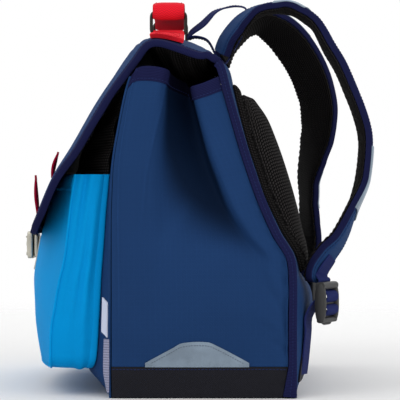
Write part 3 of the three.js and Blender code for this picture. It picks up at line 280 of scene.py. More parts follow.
# Soft folds of the side, from one place to another: shares of the depth from the front and of the height,
# then their half width and their height in millimetres, inwards where it is negative
SIDE_FOLDS = table(
    "from_y from_z to_y to_z wide high",
    (0.3, 0.62, 0.22, 0.2, 9, -1.1), (0.42, 0.6, 0.3, 0.44, 7, 0.8), (0.36, 0.52, 0.46, 0.3, 12, -0.9),
    (0.8, 0.42, 0.95, 0.3, 6, 1.1), (0.84, 0.33, 0.97, 0.24, 4, -1.2), (0.8, 0.25, 0.97, 0.19, 5, 0.9),
    (0.86, 0.17, 0.98, 0.14, 3.5, -1), (0.93, 0.4, 0.955, 0.12, 4, -1.3), (0.6, 0.3, 0.75, 0.12, 14, 1.2),
    (0.1, 0.5, 0.14, 0.15, 8, 0.9),
)


# Curves and surfaces


def read(rows, column, at):
    """A column of a table at a place: a cubic through the rows, with slopes over the rows to either side."""
    x = rows[rows["place"]]
    y = rows[column]
    at = np.asarray(at, float)
    last = len(x) - 1
    i = np.clip(np.searchsorted(x, at, side="left") - 1, 0, last - 1)
    before = np.maximum(i - 1, 0)
    after = np.minimum(i + 2, last)
    span = x[i + 1] - x[i]
    t = np.clip((at - x[i]) / span, 0, 1)
    slope_a = (y[i + 1] - y[before]) / (x[i + 1] - x[before]) * span
    slope_b = (y[after] - y[i]) / (x[after] - x[i]) * span
    hermite_a = y[i] * (2 * t**3 - 3 * t**2 + 1) + slope_a * (t**3 - 2 * t**2 + t)
    hermite_b = y[i + 1] * (3 * t**2 - 2 * t**3) + slope_b * (t**3 - t**2)
    return hermite_a + hermite_b


def unit(vectors):
    """The same directions with length one."""
    return vectors / np.maximum(np.linalg.norm(vectors, axis=-1, keepdims=True), 1e-12)


def through(points, t, closed=False):
    """A centripetal Catmull-Rom curve through points along the first axis, at shares t of its spans."""
    spans = len(points) if closed else len(points) - 1
    place = np.clip(t, 0, 1 - 1e-9) * spans
    i = np.floor(place).astype(int)
    w = (place - i)[..., None]
    if closed:
        padded = np.concatenate([points[-1:], points, points[:2]])
    else:
        padded = np.concatenate([[2 * points[0] - points[1]], points, [2 * points[-1] - points[-2]]])
    a, b, c, d = (padded[(i + k, *np.indices(points.shape[1:-1]))] for k in range(4))
    steps = [np.sqrt(np.linalg.norm(q - p, axis=-1, keepdims=True)) for p, q in ((a, b), (b, c), (c, d))]
    ab, bc, cd = (np.maximum(step, 1e-6) for step in steps)
    slope_b = ((b - a) / ab - (c - a) / (ab + bc) + (c - b) / bc) * bc
    slope_c = ((c - b) / bc - (d - b) / (bc + cd) + (d - c) / cd) * bc
    cubic = 2 * b - 2 * c + slope_b + slope_c
    square = -3 * b + 3 * c - 2 * slope_b - slope_c
    return b + slope_b * w + square * w**2 + cubic * w**3


def normals_of(points, around=False, along=False):
    """Unit cross product of the steps across and along a grid of points, which may close either way."""

    def step(axis, ring):
        if ring:
            return np.roll(points, -1, axis) - np.roll(points, 1, axis)
        return np.gradient(points, axis=axis)

    return unit(np.cross(step(1, around), step(0, along)))


def eased(count, low=0.0, high=1.0):
    """Values from low to high that lie closer together at both ends, as the cosine of even angles does."""
    return low + (high - low) * (0.5 - 0.5 * np.cos(np.linspace(0, np.pi, count)))


def bell(x, width):
    """A bell curve: one at zero, falling as exp(-(x / width) squared)."""
    return np.exp(-((x / width) ** 2))


def smooth(low, high, x):
    """Zero below low and one above high, with the cubic 3t2 - 2t3 between."""
    t = np.clip((x - low) / (high - low), 0, 1)
    return t * t * (3 - 2 * t)


def fall(x, steep, power):
    """One at zero and nothing at one: one minus the size of x to a power, then to another power."""
    return np.clip(1 - np.abs(x) ** steep, 0, 1) ** power


def over(surface, a, b, *more):
    """A surface at every pair of places from a row and a column."""
    return surface(*np.broadcast_arrays(a, b), *more)


def facing(path, *direction):
    """One direction at every place of a path."""
    return np.broadcast_to(np.array(direction, float), path.shape)


def distances(path):
    """How far each place of a path lies from its start."""
    return np.concatenate([[0], np.cumsum(np.linalg.norm(np.diff(path, axis=0), axis=1))])


def at_distance(at, distance, path):
    """The places of a path at distances from its start."""
    return np.stack([np.interp(at, distance, path[:, k]) for k in range(3)], 1)


def heading(path, closed=False):
    """Unit directions along a path, over the places on both sides of each."""
    return unit(np.roll(path, -1, 0) - np.roll(path, 1, 0) if closed else np.gradient(path, axis=0))


def circle_angles(count):
    """Even angles round a circle, the first half a step on."""
    return (np.arange(count) + 0.5) * 2 * np.pi / count


def squared(wave, power):
    """A sine or a cosine with its size raised to a power, which squares the circle that the two draw."""
    return np.sign(wave) * np.abs(wave) ** power


def ripple(a, b, seed):
    """Slow unevenness from -1 to 1: the mean of sines along four directions, with phases from the seed."""
    total = np.zeros(np.broadcast(a, b).shape)
    for k in range(4):
        turn = seed * 1.7 + k * 2.399
        rate = 55 + 38 * k
        total = total + np.sin(rate * (a * math.cos(turn) + b * math.sin(turn)) + seed * (k + 1.3))
    return total / 4


def thicken(points, low, high, level=False):
    """A ring of points round a sheet: its grid moved high along its normals, then back moved low."""
    normals = normals_of(points)
    if level:
        normals = unit(normals * (1, 1, 0))
    low = np.broadcast_to(low, points.shape[:2])[..., None]
    high = np.broadcast_to(high, points.shape[:2])[..., None]
    return np.concatenate([points + normals * high, (points + normals * low)[:, ::-1]], 1)


def carry(centre, wide, out, profile):
    """A profile (x, y) carried along a path: each centre plus x times wide plus y times out."""
    profile = np.broadcast_to(profile, (len(centre), *profile.shape[-2:]))
    return centre[:, None] + wide[:, None] * profile[..., :1] + out[:, None] * profile[..., 1:]


def rounded(width, height, count=24, power=0.35):
    """A closed profile: a superellipse of that width and height, with rounder corners for a larger power."""
    angle = circle_angles(count)
    x = squared(np.cos(angle), power)
    y = squared(np.sin(angle), power)
    return np.stack([-x * width / 2, y * height / 2], 1)


def lifted(surface, a, b, lift, step=1e-4):
    """Points a height above a surface of two parameters, and the normals there, from its small steps."""
    a, b = np.broadcast_arrays(np.asarray(a, float), np.asarray(b, float))
    point = surface(a, b)
    across = surface(a + step, b) - surface(a - step, b)
    along = surface(a, b + step) - surface(a, b - step)
    normal = unit(np.cross(across, along))
    return point + normal * lift, normal


def sided(ring, sign):
    """The ring itself for sign 1, or on the left of the bag, run backwards so that it still faces out."""
    return ring if sign > 0 else (ring * (-1, 1, 1))[:, ::-1]


def seam_on(sign, path, normal):
    """A line of stitches and its normals, on the right of the bag for sign 1 and on the left for -1."""
    return path * (sign, 1, 1), normal * (sign, 1, 1)


def cloth_wall(sheet):
    """A sheet of cloth as one closed tube, level in its thickness."""
    return [thicken(sheet, -CLOTH / 2, CLOTH / 2, True)]


def patch_on(sheet, proud=0.0):
    """A patch on a sheet of cloth, level in its thickness."""
    return thicken(sheet, CLOTH / 2, CLOTH / 2 + PATCH + proud, True)


# Meshes


def ring_faces(rows, columns, closed):
    """Quads of a tube of rings: between neighbours round and along, and strips that close its two ends."""
    index = np.arange(rows * columns).reshape(rows, columns)
    ahead = np.roll(index, -1, 0) if closed else index[1:]
    base = index if closed else index[:-1]
    quads = np.stack([base, np.roll(base, -1, 1), np.roll(ahead, -1, 1), ahead], -1).reshape(-1, 4)
    if closed:
        return quads
    i = np.arange(columns // 2 - 1)
    first = np.stack([i, columns - 1 - i, columns - 2 - i, i + 1], -1)
    last = first[:, ::-1] + (rows - 1) * columns
    return np.concatenate([quads, first, last])


def ring_uv(points, closed):
    """Face corner coordinates in metres: the distance round each ring, and the distance along the tube."""
    rows, columns = points.shape[:2]
    around = np.linalg.norm(np.diff(np.concatenate([points, points[:, :1]], 1), axis=1), axis=-1)
    u = np.concatenate([np.zeros((rows, 1)), np.cumsum(around, 1)], 1)
    whole = np.concatenate([points, points[:1]]) if closed else points
    along = np.linalg.norm(np.diff(whole, axis=0), axis=-1)
    v = np.concatenate([np.zeros((1, columns)), np.cumsum(along, 0)])
    v = np.concatenate([v, v[:, :1]], 1)
    u = np.concatenate([u, u[:1]]) if closed else u
    uv = np.stack([u, v], -1)
    quads = np.stack([uv[:-1, :-1], uv[:-1, 1:], uv[1:, 1:], uv[1:, :-1]], 2).reshape(-1, 4, 2)
    if closed:
        return quads
    i = np.arange(columns // 2 - 1)
    corners = np.stack([i, columns - 1 - i, columns - 2 - i, i + 1], -1)
    return np.concatenate([quads, uv[0][corners], uv[-1][corners[:, ::-1]]])


def edge_wear(points, closed):
    """How sharply the surface turns outwards at each point, from 0 to 1: the turn of its unit steps against
    the normal, over the mean step."""
    normal = normals_of(points, True, closed)
    worn = np.zeros(points.shape[:2])
    for axis, ring in ((1, True), (0, closed)):
        ahead = np.roll(points, -1, axis) - points
        behind = points - np.roll(points, 1, axis)
        size = (np.linalg.norm(ahead, axis=-1) + np.linalg.norm(behind, axis=-1)) / 2
        turn = -np.sum((unit(ahead) - unit(behind)) * normal, -1) / np.maximum(size, 1e-5)
        if not ring:
            turn[0] = 0
            turn[-1] = 0
        worn = np.maximum(worn, turn)
    return np.clip(worn * 1.2 * MM, 0, 1)


def mesh_object(name, vertices, faces, uv=None, values=None, sharp=40):
    """A new object of these vertices and faces, smooth but for edges that turn more than sharp degrees."""
    mesh = bpy.data.meshes.new(name)
    mesh.from_pydata(vertices.tolist(), [], faces.tolist())
    if uv is not None:
        layer = mesh.uv_layers.new(name="cloth")
        layer.data.foreach_set("uv", uv.astype(np.float32).ravel())
    for key, value in (values or {}).items():
        attribute = mesh.attributes.new(key, "FLOAT", "POINT")
        attribute.data.foreach_set("value", value.astype(np.float32).ravel())
    mesh.shade_smooth()
    mesh.set_sharp_from_angle(angle=math.radians(sharp))
    obj = bpy.data.objects.new(name, mesh)
    bpy.context.scene.collection.objects.link(obj)
    return obj


def piece(name, rings, slot, replaces=(), lining=None, sharp=40, dust=None, finish=None):
    """One visible piece made of tubes. Each is an array of rings, or such an array and whether it closes on
    itself. A lining is the finish of the second half of every ring, which is a sheet's inner face. Painted
    shade is a value from 0 to 1 at each point of a single sheet, which darkens it as the shade in a fold. The
    finish is the slot's own unless another is named."""
    rings = [ring if isinstance(ring, tuple) else (ring, False) for ring in rings]
    vertices, faces, uvs, wears, linings = [], [], [], [], []
    start = 0
    for points, closed in rings:
        rows, columns = points.shape[:2]
        quads = ring_faces(rows, columns, closed)
        vertices.append(points.reshape(-1, 3))
        faces.append(quads + start)
        uvs.append(ring_uv(points, closed))
        wears.append(edge_wear(points, closed).ravel())
        linings.append(np.min(quads % columns, 1) >= columns // 2)
        start += rows * columns
    values = {"wear": np.concatenate(wears)}
    if dust is not None:
        values["dust"] = np.concatenate([dust, dust[:, ::-1]], 1)
    vertices, faces, uvs = (np.concatenate(parts) for parts in (vertices, faces, uvs))
    obj = mesh_object(name, vertices, faces, uvs, values, sharp)
    obj.data.materials.append(material(finish or slot))
    if lining:
        obj.data.materials.append(material(lining))
        inside = np.concatenate(linings).astype(np.int32)
        obj.data.polygons.foreach_set("material_index", inside)
    return settle(obj, replaces)


def settle(obj, replaces=()):
    """The piece rides on the bag and stands for its solids, which are hidden."""
    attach(obj, "root")
    if replaces:
        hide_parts(*replaces)
    return obj


def stitches(name, seams, finish, pitch=3.4 * MM, length=2.5 * MM, thick=0.34 * MM):
    """Rows of thread: a six-sided bead, round at both ends, is set at even distances along each seam."""
    angle = np.arange(6) * np.pi / 3
    place = np.array([-1.0, -0.82, 0.0, 0.82, 1.0])
    radius = np.array([0.12, 0.75, 1.0, 0.75, 0.12])
    ring = np.stack([np.cos(angle), np.sin(angle)], 1)
    vertices, faces, start = [], [], 0
    count = len(place) * len(ring)
    for path, normal in seams:
        distance = distances(path)
        at = np.arange(pitch / 2, distance[-1], pitch)
        if not len(at):
            continue
        centre, up = (at_distance(at, distance, values) for values in (path, normal))
        ahead, behind = (at_distance(at + step, distance, path) for step in (pitch / 4, -pitch / 4))
        along = unit(ahead - behind)
        side = unit(np.cross(along, up))
        up = np.cross(side, along)
        bead = (
            centre[:, None, None]
            + along[:, None, None] * (place * length / 2)[None, :, None, None]
            + side[:, None, None] * (radius[:, None] * ring[:, 0] * thick)[None, ..., None]
            + up[:, None, None] * (radius[:, None] * ring[:, 1] * thick)[None, ..., None]
        )
        quads = ring_faces(len(place), len(ring), False)
        shifts = np.arange(len(at))[:, None, None] * count + start
        faces.append((quads[None] + shifts).reshape(-1, 4))
        vertices.append(bead.reshape(-1, 3))
        start += len(at) * count
    obj = mesh_object(name, np.concatenate(vertices), np.concatenate(faces))
    obj.data.materials.append(material(finish))
    return settle(obj)


# Forms of the bag


def front_seam(z):
    """Where the side meets the front, seen from the side."""
    return -DEPTH / 2 * read(SIDE, "front", z / SIDE_HEIGHT)


def rear_seam(z):
    """Where the side meets the back, seen from the side."""
    return DEPTH / 2 * read(SIDE, "rear", z / SIDE_HEIGHT)


def tape_inset(z, clearance):
    """The rear tape's level width: its width at that height, divided by the seam's steepness."""
    slope = (rear_seam(z + MM) - rear_seam(z - MM)) / (2 * MM)
    width = TAPE * (1 + 0.7 * np.maximum(0, 1 - z / BAND_HEIGHT))
    return (width + clearance) * np.hypot(1, slope)


def side_section(across, z):
    """A level section of the side: a curve through ten places, folded inwards at the pleat."""
    share = z / SIDE_HEIGHT
    front = front_seam(z)
    length = rear_seam(z) - tape_inset(z, 2 * GAP) - front
    swell = np.minimum(1, z / (2 * BAND_HEIGHT)) * SEAM_SET
    depth = FOLD_DEPTH * read(SIDE, "fold", share)
    crease, valley, rise = (read(SIDE, key, share) for key in ("crease", "valley", "rise"))
    zero = np.zeros_like(crease)
    places = (
        (zero, zero),
        (zero + 0.055, swell),
        (crease * 0.5, swell * 1.6),
        (crease - 0.03, swell),
        (crease + 0.24 * (valley - crease), swell * 1.4 - depth * 0.6),
        (valley - 0.03, -depth * 1.12),
        (valley + 0.25 * (rise - valley), swell * 0.5 - depth * 1.1),
        (rise, swell * 1.2 - depth * 0.04),
        ((1 + rise) / 2, swell * 1.2),
        (zero + 1, zero),
    )
    points = np.stack([np.stack([front + at * length, out], -1) for at, out in places])
    y, out = np.moveaxis(through(points, across), -1, 0)
    return WIDTH / 2 - SEAM_SET + out, y


def side_relief(across, y, z, seed):
    """Height of the side's folds: soft bells along lines, pressed creases, and puckers that die away from
    the rear and foot seams."""
    share_y = (y + DEPTH / 2) / DEPTH
    share_z = z / SIDE_HEIGHT
    total = 0.45 * MM * ripple(y * 0.9, z, seed)
    f = SIDE_FOLDS
    for k in range(len(f["wide"])):
        dy = (f["to_y"][k] - f["from_y"][k]) * DEPTH
        dz = (f["to_z"][k] - f["from_z"][k]) * SIDE_HEIGHT
        ry = (share_y - f["from_y"][k]) * DEPTH
        rz = (share_z - f["from_z"][k]) * SIDE_HEIGHT
        size = math.hypot(dy, dz)
        along = (ry * dy + rz * dz) / size**2
        beside = (ry * dz - rz * dy) / size
        taper = smooth(-0.25, 0.3, along) * (1 - smooth(0.7, 1.25, along))
        total = total + f["high"][k] * MM * bell(beside, f["wide"][k] * MM) * taper
    crease = read(SIDE, "crease", share_z)
    pressed = smooth(0.42, 0.62, share_z)
    total = total + 0.8 * MM * bell(across - crease + 0.01, 0.011) * pressed
    total = total + 0.7 * MM * bell(across - 0.085, 0.01) * smooth(0.15, 0.4, share_z)
    rear = (1 - across) * DEPTH
    pucker = np.sin(z / (2.9 * MM) + 2.2 * np.sin(z / (23 * MM) + seed)) * bell(rear - 3 * MM, 9 * MM)
    total = total + 0.5 * MM * pucker * (1 - smooth(0.55, 0.8, share_z))
    foot = np.sin(y / (2.7 * MM) + 1.9 * np.sin(y / (19 * MM) + seed)) * bell(z - BAND_HEIGHT, 8 * MM)
    total = total + 0.35 * MM * foot
    return total * smooth(0, 0.03, across) * (1 - smooth(0.975, 1, across)) * smooth(0, 0.06, share_z)


def side_surface(across, up, seed=0.0):
    """The right-hand side from the foot (up 0) to its free edge (up 1), with its relief along the normal."""
    top = SIDE_HEIGHT * read(SIDE_TOP, "top", across)
    z = BAND_HEIGHT + (top - BAND_HEIGHT) * up
    return side_at(across, z, seed)


def side_at(across, z, seed=0.0):
    """The side at a height: its level section, moved along the section's normal by the relief."""
    step = 1e-3
    x, y = side_section(across, z)
    ahead_x, ahead_y = side_section(np.minimum(across + step, 1), z)
    behind_x, behind_y = side_section(np.maximum(across - step, 0), z)
    tangent = unit(np.stack([ahead_x - behind_x, ahead_y - behind_y], -1))
    relief = side_relief(across, y, z, seed)
    return np.stack([x + tangent[..., 1] * relief, y - tangent[..., 0] * relief, z + 0 * x], -1)


FRONT_HALF = WIDTH / 2 - SEAM_SET
BACK_HALF = WIDTH / 2 - SEAM_SET - TAPE_THICK / 2 + 1 * MM - GAP - CLOTH


def front_surface(x, z):
    """The front wall: its seam, and a bulge of one minus the sixth power of the place across."""
    up = z / SIDE_HEIGHT
    side = np.abs(x / FRONT_HALF)
    bulge = FRONT_BULGE * read(BULGE, "front", up)
    wave = 0.8 * MM * ripple(x * 0.6, z * 0.8, 4.1) * (1 - side**4)
    y = front_seam(z) - SEAM - bulge * (1 - side**6) - wave * smooth(0, 0.1, up)
    return np.stack([x, y, z], -1)


def back_surface(x, z):
    """The back wall: its seam, and a bulge of one minus the fourth power of the place across."""
    up = z / SIDE_HEIGHT
    side = np.abs(x / BACK_HALF)
    bulge = BACK_BULGE * read(BULGE, "back", up)
    wave = 0.7 * MM * ripple(x * 0.7, z, 7.3) * (1 - side**4)
    y = rear_seam(z) - CLOTH / 2 + bulge * (1 - side**4) + wave * smooth(0, 0.1, up)
    return np.stack([x, y, z], -1)


def pocket_half(z, inset=0.0):
    """Half the pocket's width at a height, with round lower corners."""
    radius = POCKET_CORNER - inset
    above = np.clip(z - POCKET_FOOT - inset, 0, radius)
    return POCKET_WIDTH / 2 - POCKET_CORNER + np.sqrt(radius**2 - (radius - above) ** 2)


def pocket_face(x, z):
    """How far forward the pocket's face stands: its seam, and one minus a power of the place across."""
    up = (z - POCKET_FOOT) / (POCKET_TOP - POCKET_FOOT)
    seam = DEPTH / 2 + POCKET_DEPTH * read(POCKET, "seam", up)
    bulge = POCKET_BULGE * read(POCKET, "bulge", up)
    side = np.minimum(1, np.abs(x) / pocket_half(z))
    return -seam - bulge * (1 - side**2.2)


def flap_surface(x, at):
    """The flap's outer face: from its edge line to its middle line, by two powers of the place across."""
    side = np.minimum(1, np.abs(x) / (FLAP_WIDTH / 2))
    crown = 0.8 * (1 - side**1.6) + 0.2 * (1 - side**8)
    edge_y, edge_z, mid_y, mid_z = (read(FLAP, key, at) for key in ("edge_y", "edge_z", "mid_y", "mid_z"))
    y = -FLAP_REACH * (edge_y + (mid_y - edge_y) * crown)
    z = FLAP_HEIGHT * (edge_z + (mid_z - edge_z) * crown)
    return np.stack([x + 0 * y, y, z], -1)


def on_flap(x, at, lift=0.0):
    """Points a height above the flap's outer face, and the normals there."""
    return lifted(lambda a, b: flap_surface(-a, b), -np.asarray(x, float), at, lift)


def flap_half(above, inset):
    """Half the flap's width at a distance above its lower edge, with round lower corners."""
    radius = FLAP_CORNER - inset
    rise = np.clip(above - inset, 0, radius)
    return FLAP_WIDTH / 2 - FLAP_CORNER + np.sqrt(radius**2 - (radius - rise) ** 2)


def flap_outline(inset, straight=60, round_steps=16, level=50):
    """The flap's free edge at an inset: down its right side, round the corner, along the foot and back up."""
    start = np.linspace(0, 1 - FLAP_CORNER / FLAP_LENGTH, straight)
    angle = np.linspace(0, np.pi / 2, round_steps)[1:]
    radius = FLAP_CORNER - inset
    arc_x = FLAP_WIDTH / 2 - FLAP_CORNER + radius * np.cos(angle)
    arc_at = 1 - (FLAP_CORNER - radius * np.sin(angle)) / FLAP_LENGTH
    foot_x = np.linspace(FLAP_WIDTH / 2 - FLAP_CORNER, 0, level)[1:]
    x = np.concatenate([np.full(straight, FLAP_WIDTH / 2 - inset), arc_x, foot_x])
    at = np.concatenate([start, arc_at, np.full(level - 1, 1 - inset / FLAP_LENGTH)])
    return np.concatenate([x, -x[-2::-1]]), np.concatenate([at, at[-2::-1]])


def strap_frames(rows, side, s):
    """Place, direction, width direction and outward direction at shares s of a strap's length. The width
    direction is level, square to the route, then turned about it."""
    places = (side * rows["out"] * WIDTH / 2, rows["back"] * STRAP_REACH, rows["up"] * STRAP_RISE)
    points = np.stack(places, 1)
    dense = np.linspace(0, 1, 1201)
    curve = through(points, dense)
    length = distances(curve)
    t = np.interp(np.asarray(s) * length[-1], length, dense)
    place = through(points, t)
    along = unit(through(points, np.minimum(t + 1e-3, 1)) - through(points, np.maximum(t - 1e-3, 0)))
    turn = np.radians(np.interp(t * (len(points) - 1), np.arange(len(points)), rows["turn"]))[:, None]
    wide = unit(np.array([1.0, 0, 0]) - along * along[:, :1])
    wide = wide * np.cos(side * turn) + np.cross(along, wide) * np.sin(side * turn)
    return place, along, wide, np.cross(wide, along)


STRAP_LOW = -(STRAP_OUTER + STRAP_MESH) / 2 + STRAP_MESH
SIDES = (("right", 1, 0.0), ("left", -1, 2.6))
STRAPS = (("right", 1, STRAP_RIGHT), ("left", -1, STRAP_LEFT))


# Finishes


class Finish:
    """A node material under way: short calls for the nodes that its pattern needs."""

    def __init__(self, name, colour, roughness, metallic=0.0):
        self.material = bpy.data.materials.new(f"satchel_{name}")
        self.material.use_nodes = True
        self.tree = self.material.node_tree
        self.shader = self.tree.nodes["Principled BSDF"]
        self.shader.inputs["Metallic"].default_value = metallic
        self.shader.inputs["Roughness"].default_value = roughness
        self.shader.inputs["Base Color"].default_value = (*colour, 1)
        self.material.diffuse_color = (*colour, 1)
        self.coordinates = self.tree.nodes.new("ShaderNodeTexCoord")
        self.split = None

    def link(self, source, target):
        """Joins an output to an input."""
        self.tree.links.new(source, target)

    def math(self, operation, a, b=0.0, c=0.0):
        """A Math node of sockets or numbers."""
        node = self.tree.nodes.new("ShaderNodeMath")
        node.operation = operation
        for socket, value in zip(node.inputs, (a, b, c)):
            if isinstance(value, (int, float)):
                socket.default_value = value
            else:
                self.link(value, socket)
        return node.outputs[0]

    def cloth(self):
        """The two coordinates of the cloth, in metres across and along."""
        if self.split is None:
            node = self.tree.nodes.new("ShaderNodeSeparateXYZ")
            self.link(self.coordinates.outputs["UV"], node.inputs[0])
            self.split = node
        return self.split.outputs[0], self.split.outputs[1]

    def wave(self, coordinate, pitch, phase=0.0):
        """A sine of a cloth coordinate, one turn for each two pitches."""
        turns = self.math("MULTIPLY_ADD", coordinate, math.pi / pitch, phase)
        return self.math("SINE", turns)

    def noise(self, scale, detail=3.0):
        """Noise on the piece's own place."""
        node = self.tree.nodes.new("ShaderNodeTexNoise")
        node.inputs["Scale"].default_value = scale
        node.inputs["Detail"].default_value = detail
        self.link(self.coordinates.outputs["Object"], node.inputs["Vector"])
        return node.outputs["Fac"]

    def attribute(self, name):
        """A value kept at the piece's points."""
        node = self.tree.nodes.new("ShaderNodeAttribute")
        node.attribute_name = name
        return node.outputs["Fac"]

    def range(self, value, low, high, to_low=0.0, to_high=1.0):
        """Maps a value from one range to another, clamped."""
        node = self.tree.nodes.new("ShaderNodeMapRange")
        self.link(value, node.inputs["Value"])
        for key, number in (("From Min", low), ("From Max", high), ("To Min", to_low), ("To Max", to_high)):
            node.inputs[key].default_value = number
        return node.outputs["Result"]

    def blend(self, factor, a, b):
        """A colour between a and b, each a socket or a colour."""
        node = self.tree.nodes.new("ShaderNodeMix")
        node.data_type = "RGBA"
        self.link(factor, node.inputs[0])
        for socket, value in ((node.inputs[6], a), (node.inputs[7], b)):
            if isinstance(value, tuple):
                socket.default_value = (*value, 1)
            else:
                self.link(value, socket)
        return node.outputs[2]

    def relief(self, height, distance):
        """Bumps the shader by a height in metres."""
        node = self.tree.nodes.new("ShaderNodeBump")
        node.inputs["Distance"].default_value = distance
        node.inputs["Strength"].default_value = 1.0
        self.link(height, node.inputs["Height"])
        self.link(node.outputs["Normal"], self.shader.inputs["Normal"])

    def colour(self, socket):
        """Sends a colour to the shader."""
        self.link(socket, self.shader.inputs["Base Color"])

    def fuzz(self, weight, roughness, tint):
        """The cloth's soft rim light, and hardly any gloss."""
        self.shader.inputs["Specular IOR Level"].default_value = CLOTH_GLOSS
        self.shader.inputs["Sheen Weight"].default_value = weight * SHEEN_SHARE
        self.shader.inputs["Sheen Roughness"].default_value = roughness
        self.shader.inputs["Sheen Tint"].default_value = (*tint, 1)


def lighter(colour, by):
    """A colour made brighter by twice a share of itself, or darker by the share if it is negative."""
    return tuple(min(1.0, c * (1 + (2 * by if by > 0 else by))) for c in colour)


def worn_cloth(name, colour, height, depth, roughness=0.8, wear=0.22, fuzz=0.25, contrast=0.3):
    """Cloth with a woven relief: threads lighter on top, slow darker stains, edges rubbed paler, and painted
    shade in the folds where the piece carries it.
    """
    finish = Finish(name, colour, roughness)
    pattern = height(finish)
    base = finish.blend(pattern, lighter(colour, -contrast), lighter(colour, contrast * 0.4))
    shade = finish.range(finish.noise(9.0, 4.0), 0.3, 0.75)
    base = finish.blend(finish.math("MULTIPLY", shade, 0.28), base, lighter(colour, -0.5))
    rubbed = finish.math("MULTIPLY", finish.attribute("wear"), finish.range(finish.noise(160.0), 0.25, 0.7))
    base = finish.blend(finish.math("MULTIPLY", rubbed, wear), base, lighter(colour, 0.4))
    # Painted shade: the cloth goes dark where its points carry a value for the pleat's fold
    base = finish.blend(finish.attribute("dust"), base, lighter(colour, -0.78))
    finish.colour(base)
    fleck = finish.noise(900.0, 2.0)
    finish.relief(finish.math("MULTIPLY_ADD", fleck, 0.35, pattern), depth)
    finish.fuzz(fuzz, 0.5, lighter(colour, 0.35))
    return finish.material


def plain_weave(finish, pitch):
    """Threads over and under: half, plus half the product of the two sines."""
    u, v = finish.cloth()
    product = finish.math("MULTIPLY", finish.wave(u, pitch), finish.wave(v, pitch))
    return finish.math("MULTIPLY_ADD", product, 0.5, 0.5)


def ripstop(finish, pitch, grid):
    """A plain weave with a thicker thread at every grid step both ways."""
    u, v = finish.cloth()
    weave = plain_weave(finish, pitch)
    lines = []
    for coordinate in (u, v):
        even = finish.math("ABSOLUTE", finish.wave(coordinate, grid))
        lines.append(finish.range(even, 0.975, 1.0))
    thick = finish.math("MAXIMUM", *lines)
    return finish.math("MULTIPLY_ADD", thick, 0.14, finish.math("MULTIPLY", weave, 0.8))


def ribs(finish, pitch):
    """Rounded ribs across a tape: the absolute sine of the place along it, broken a little by that across."""
    u, v = finish.cloth()
    rib = finish.math("ABSOLUTE", finish.wave(v, pitch))
    grain = finish.math("MULTIPLY", finish.wave(u, 0.5 * MM), 0.12)
    return finish.math("ADD", rib, grain)


def chevrons(finish, pitch, column):
    """Webbing: a sine along it, bent to and fro in columns across it."""
    u, v = finish.cloth()
    bend = finish.math("PINGPONG", u, column / 2)
    slanted = finish.math("ADD", v, bend)
    return finish.math("MULTIPLY_ADD", finish.wave(slanted, pitch), 0.5, 0.5)


def holes(finish, pitch):
    """Spacer mesh: round holes on a diagonal grid, where the product of two sines is large either way."""
    u, v = finish.cloth()
    product = finish.math("MULTIPLY", finish.wave(u, pitch), finish.wave(v, pitch))
    return finish.range(finish.math("ABSOLUTE", product), 0.3, 0.7)


def black_coated(name, tint):
    """Coated cloth: a fine grid of raised dots, low gloss, scuffs that follow slow noise."""
    finish = Finish(name, tint, 0.6)
    finish.shader.inputs["Specular IOR Level"].default_value = 0.14
    u, v = finish.cloth()
    pitch = 1.1 * MM
    dots = finish.math("MULTIPLY", finish.wave(u, pitch), finish.wave(v, pitch))
    dots = finish.range(dots, 0.1, 0.8)
    base = finish.blend(dots, lighter(tint, -0.35), lighter(tint, 0.03))
    scuff = finish.math("MULTIPLY", finish.range(finish.noise(45.0, 6.0), 0.56, 0.8), 0.25)
    finish.colour(finish.blend(scuff, base, lighter(tint, 0.12)))
    finish.relief(dots, 0.25 * MM)
    return finish.material


def reflective(name, tint):
    """Reflective film: glass-bead grain, a satin gloss that wanders, creases pressed by use."""
    finish = Finish(name, tint, 0.42, 0.35)
    grain = finish.noise(2600.0, 2.0)
    crease = finish.noise(38.0, 5.0)
    base = finish.blend(finish.range(crease, 0.35, 0.65), lighter(tint, -0.12), lighter(tint, 0.12))
    finish.colour(base)
    rough = finish.range(finish.noise(60.0), 0.3, 0.7, 0.34, 0.52)
    finish.link(rough, finish.shader.inputs["Roughness"])
    finish.relief(finish.math("MULTIPLY_ADD", crease, 3.0, grain), 0.12 * MM)
    return finish.material


def metal(name, tint, roughness, scratch):
    """Plated metal: fine brush lines along one axis, and gloss that changes with slow noise."""
    finish = Finish(name, tint, roughness, 1.0)
    mapping = finish.tree.nodes.new("ShaderNodeMapping")
    mapping.inputs["Scale"].default_value = (40.0, 1500.0, 1500.0)
    finish.link(finish.coordinates.outputs["Object"], mapping.inputs["Vector"])
    brush = finish.tree.nodes.new("ShaderNodeTexNoise")
    brush.inputs["Scale"].default_value = 1.0
    finish.link(mapping.outputs["Vector"], brush.inputs["Vector"])
    spots = finish.range(finish.noise(70.0, 4.0), 0.3, 0.75)
    finish.colour(finish.blend(spots, lighter(tint, 0.08), lighter(tint, -0.18)))
    finish.link(finish.range(spots, 0, 1, roughness, roughness + 0.14), finish.shader.inputs["Roughness"])
    finish.relief(brush.outputs["Fac"], scratch)
    return finish.material


def moulded(name, tint):
    """Moulded plastic: spark-eroded grain, edges rubbed paler."""
    finish = Finish(name, tint, 0.5)
    finish.shader.inputs["Specular IOR Level"].default_value = 0.3
    grain = finish.noise(1400.0, 3.0)
    rubbed = finish.math("MULTIPLY", finish.attribute("wear"), 0.35)
    finish.colour(finish.blend(rubbed, tint, lighter(tint, 0.25)))
    finish.relief(grain, 0.08 * MM)
    return finish.material


def thread(name, tint):
    """Sewing thread: the twist is a slanting sine on its own place."""
    finish = Finish(name, tint, 0.7)
    finish.colour(finish.blend(finish.noise(700.0), lighter(tint, -0.2), lighter(tint, 0.12)))
    finish.fuzz(0.3, 0.5, lighter(tint, 0.3))
    return finish.material


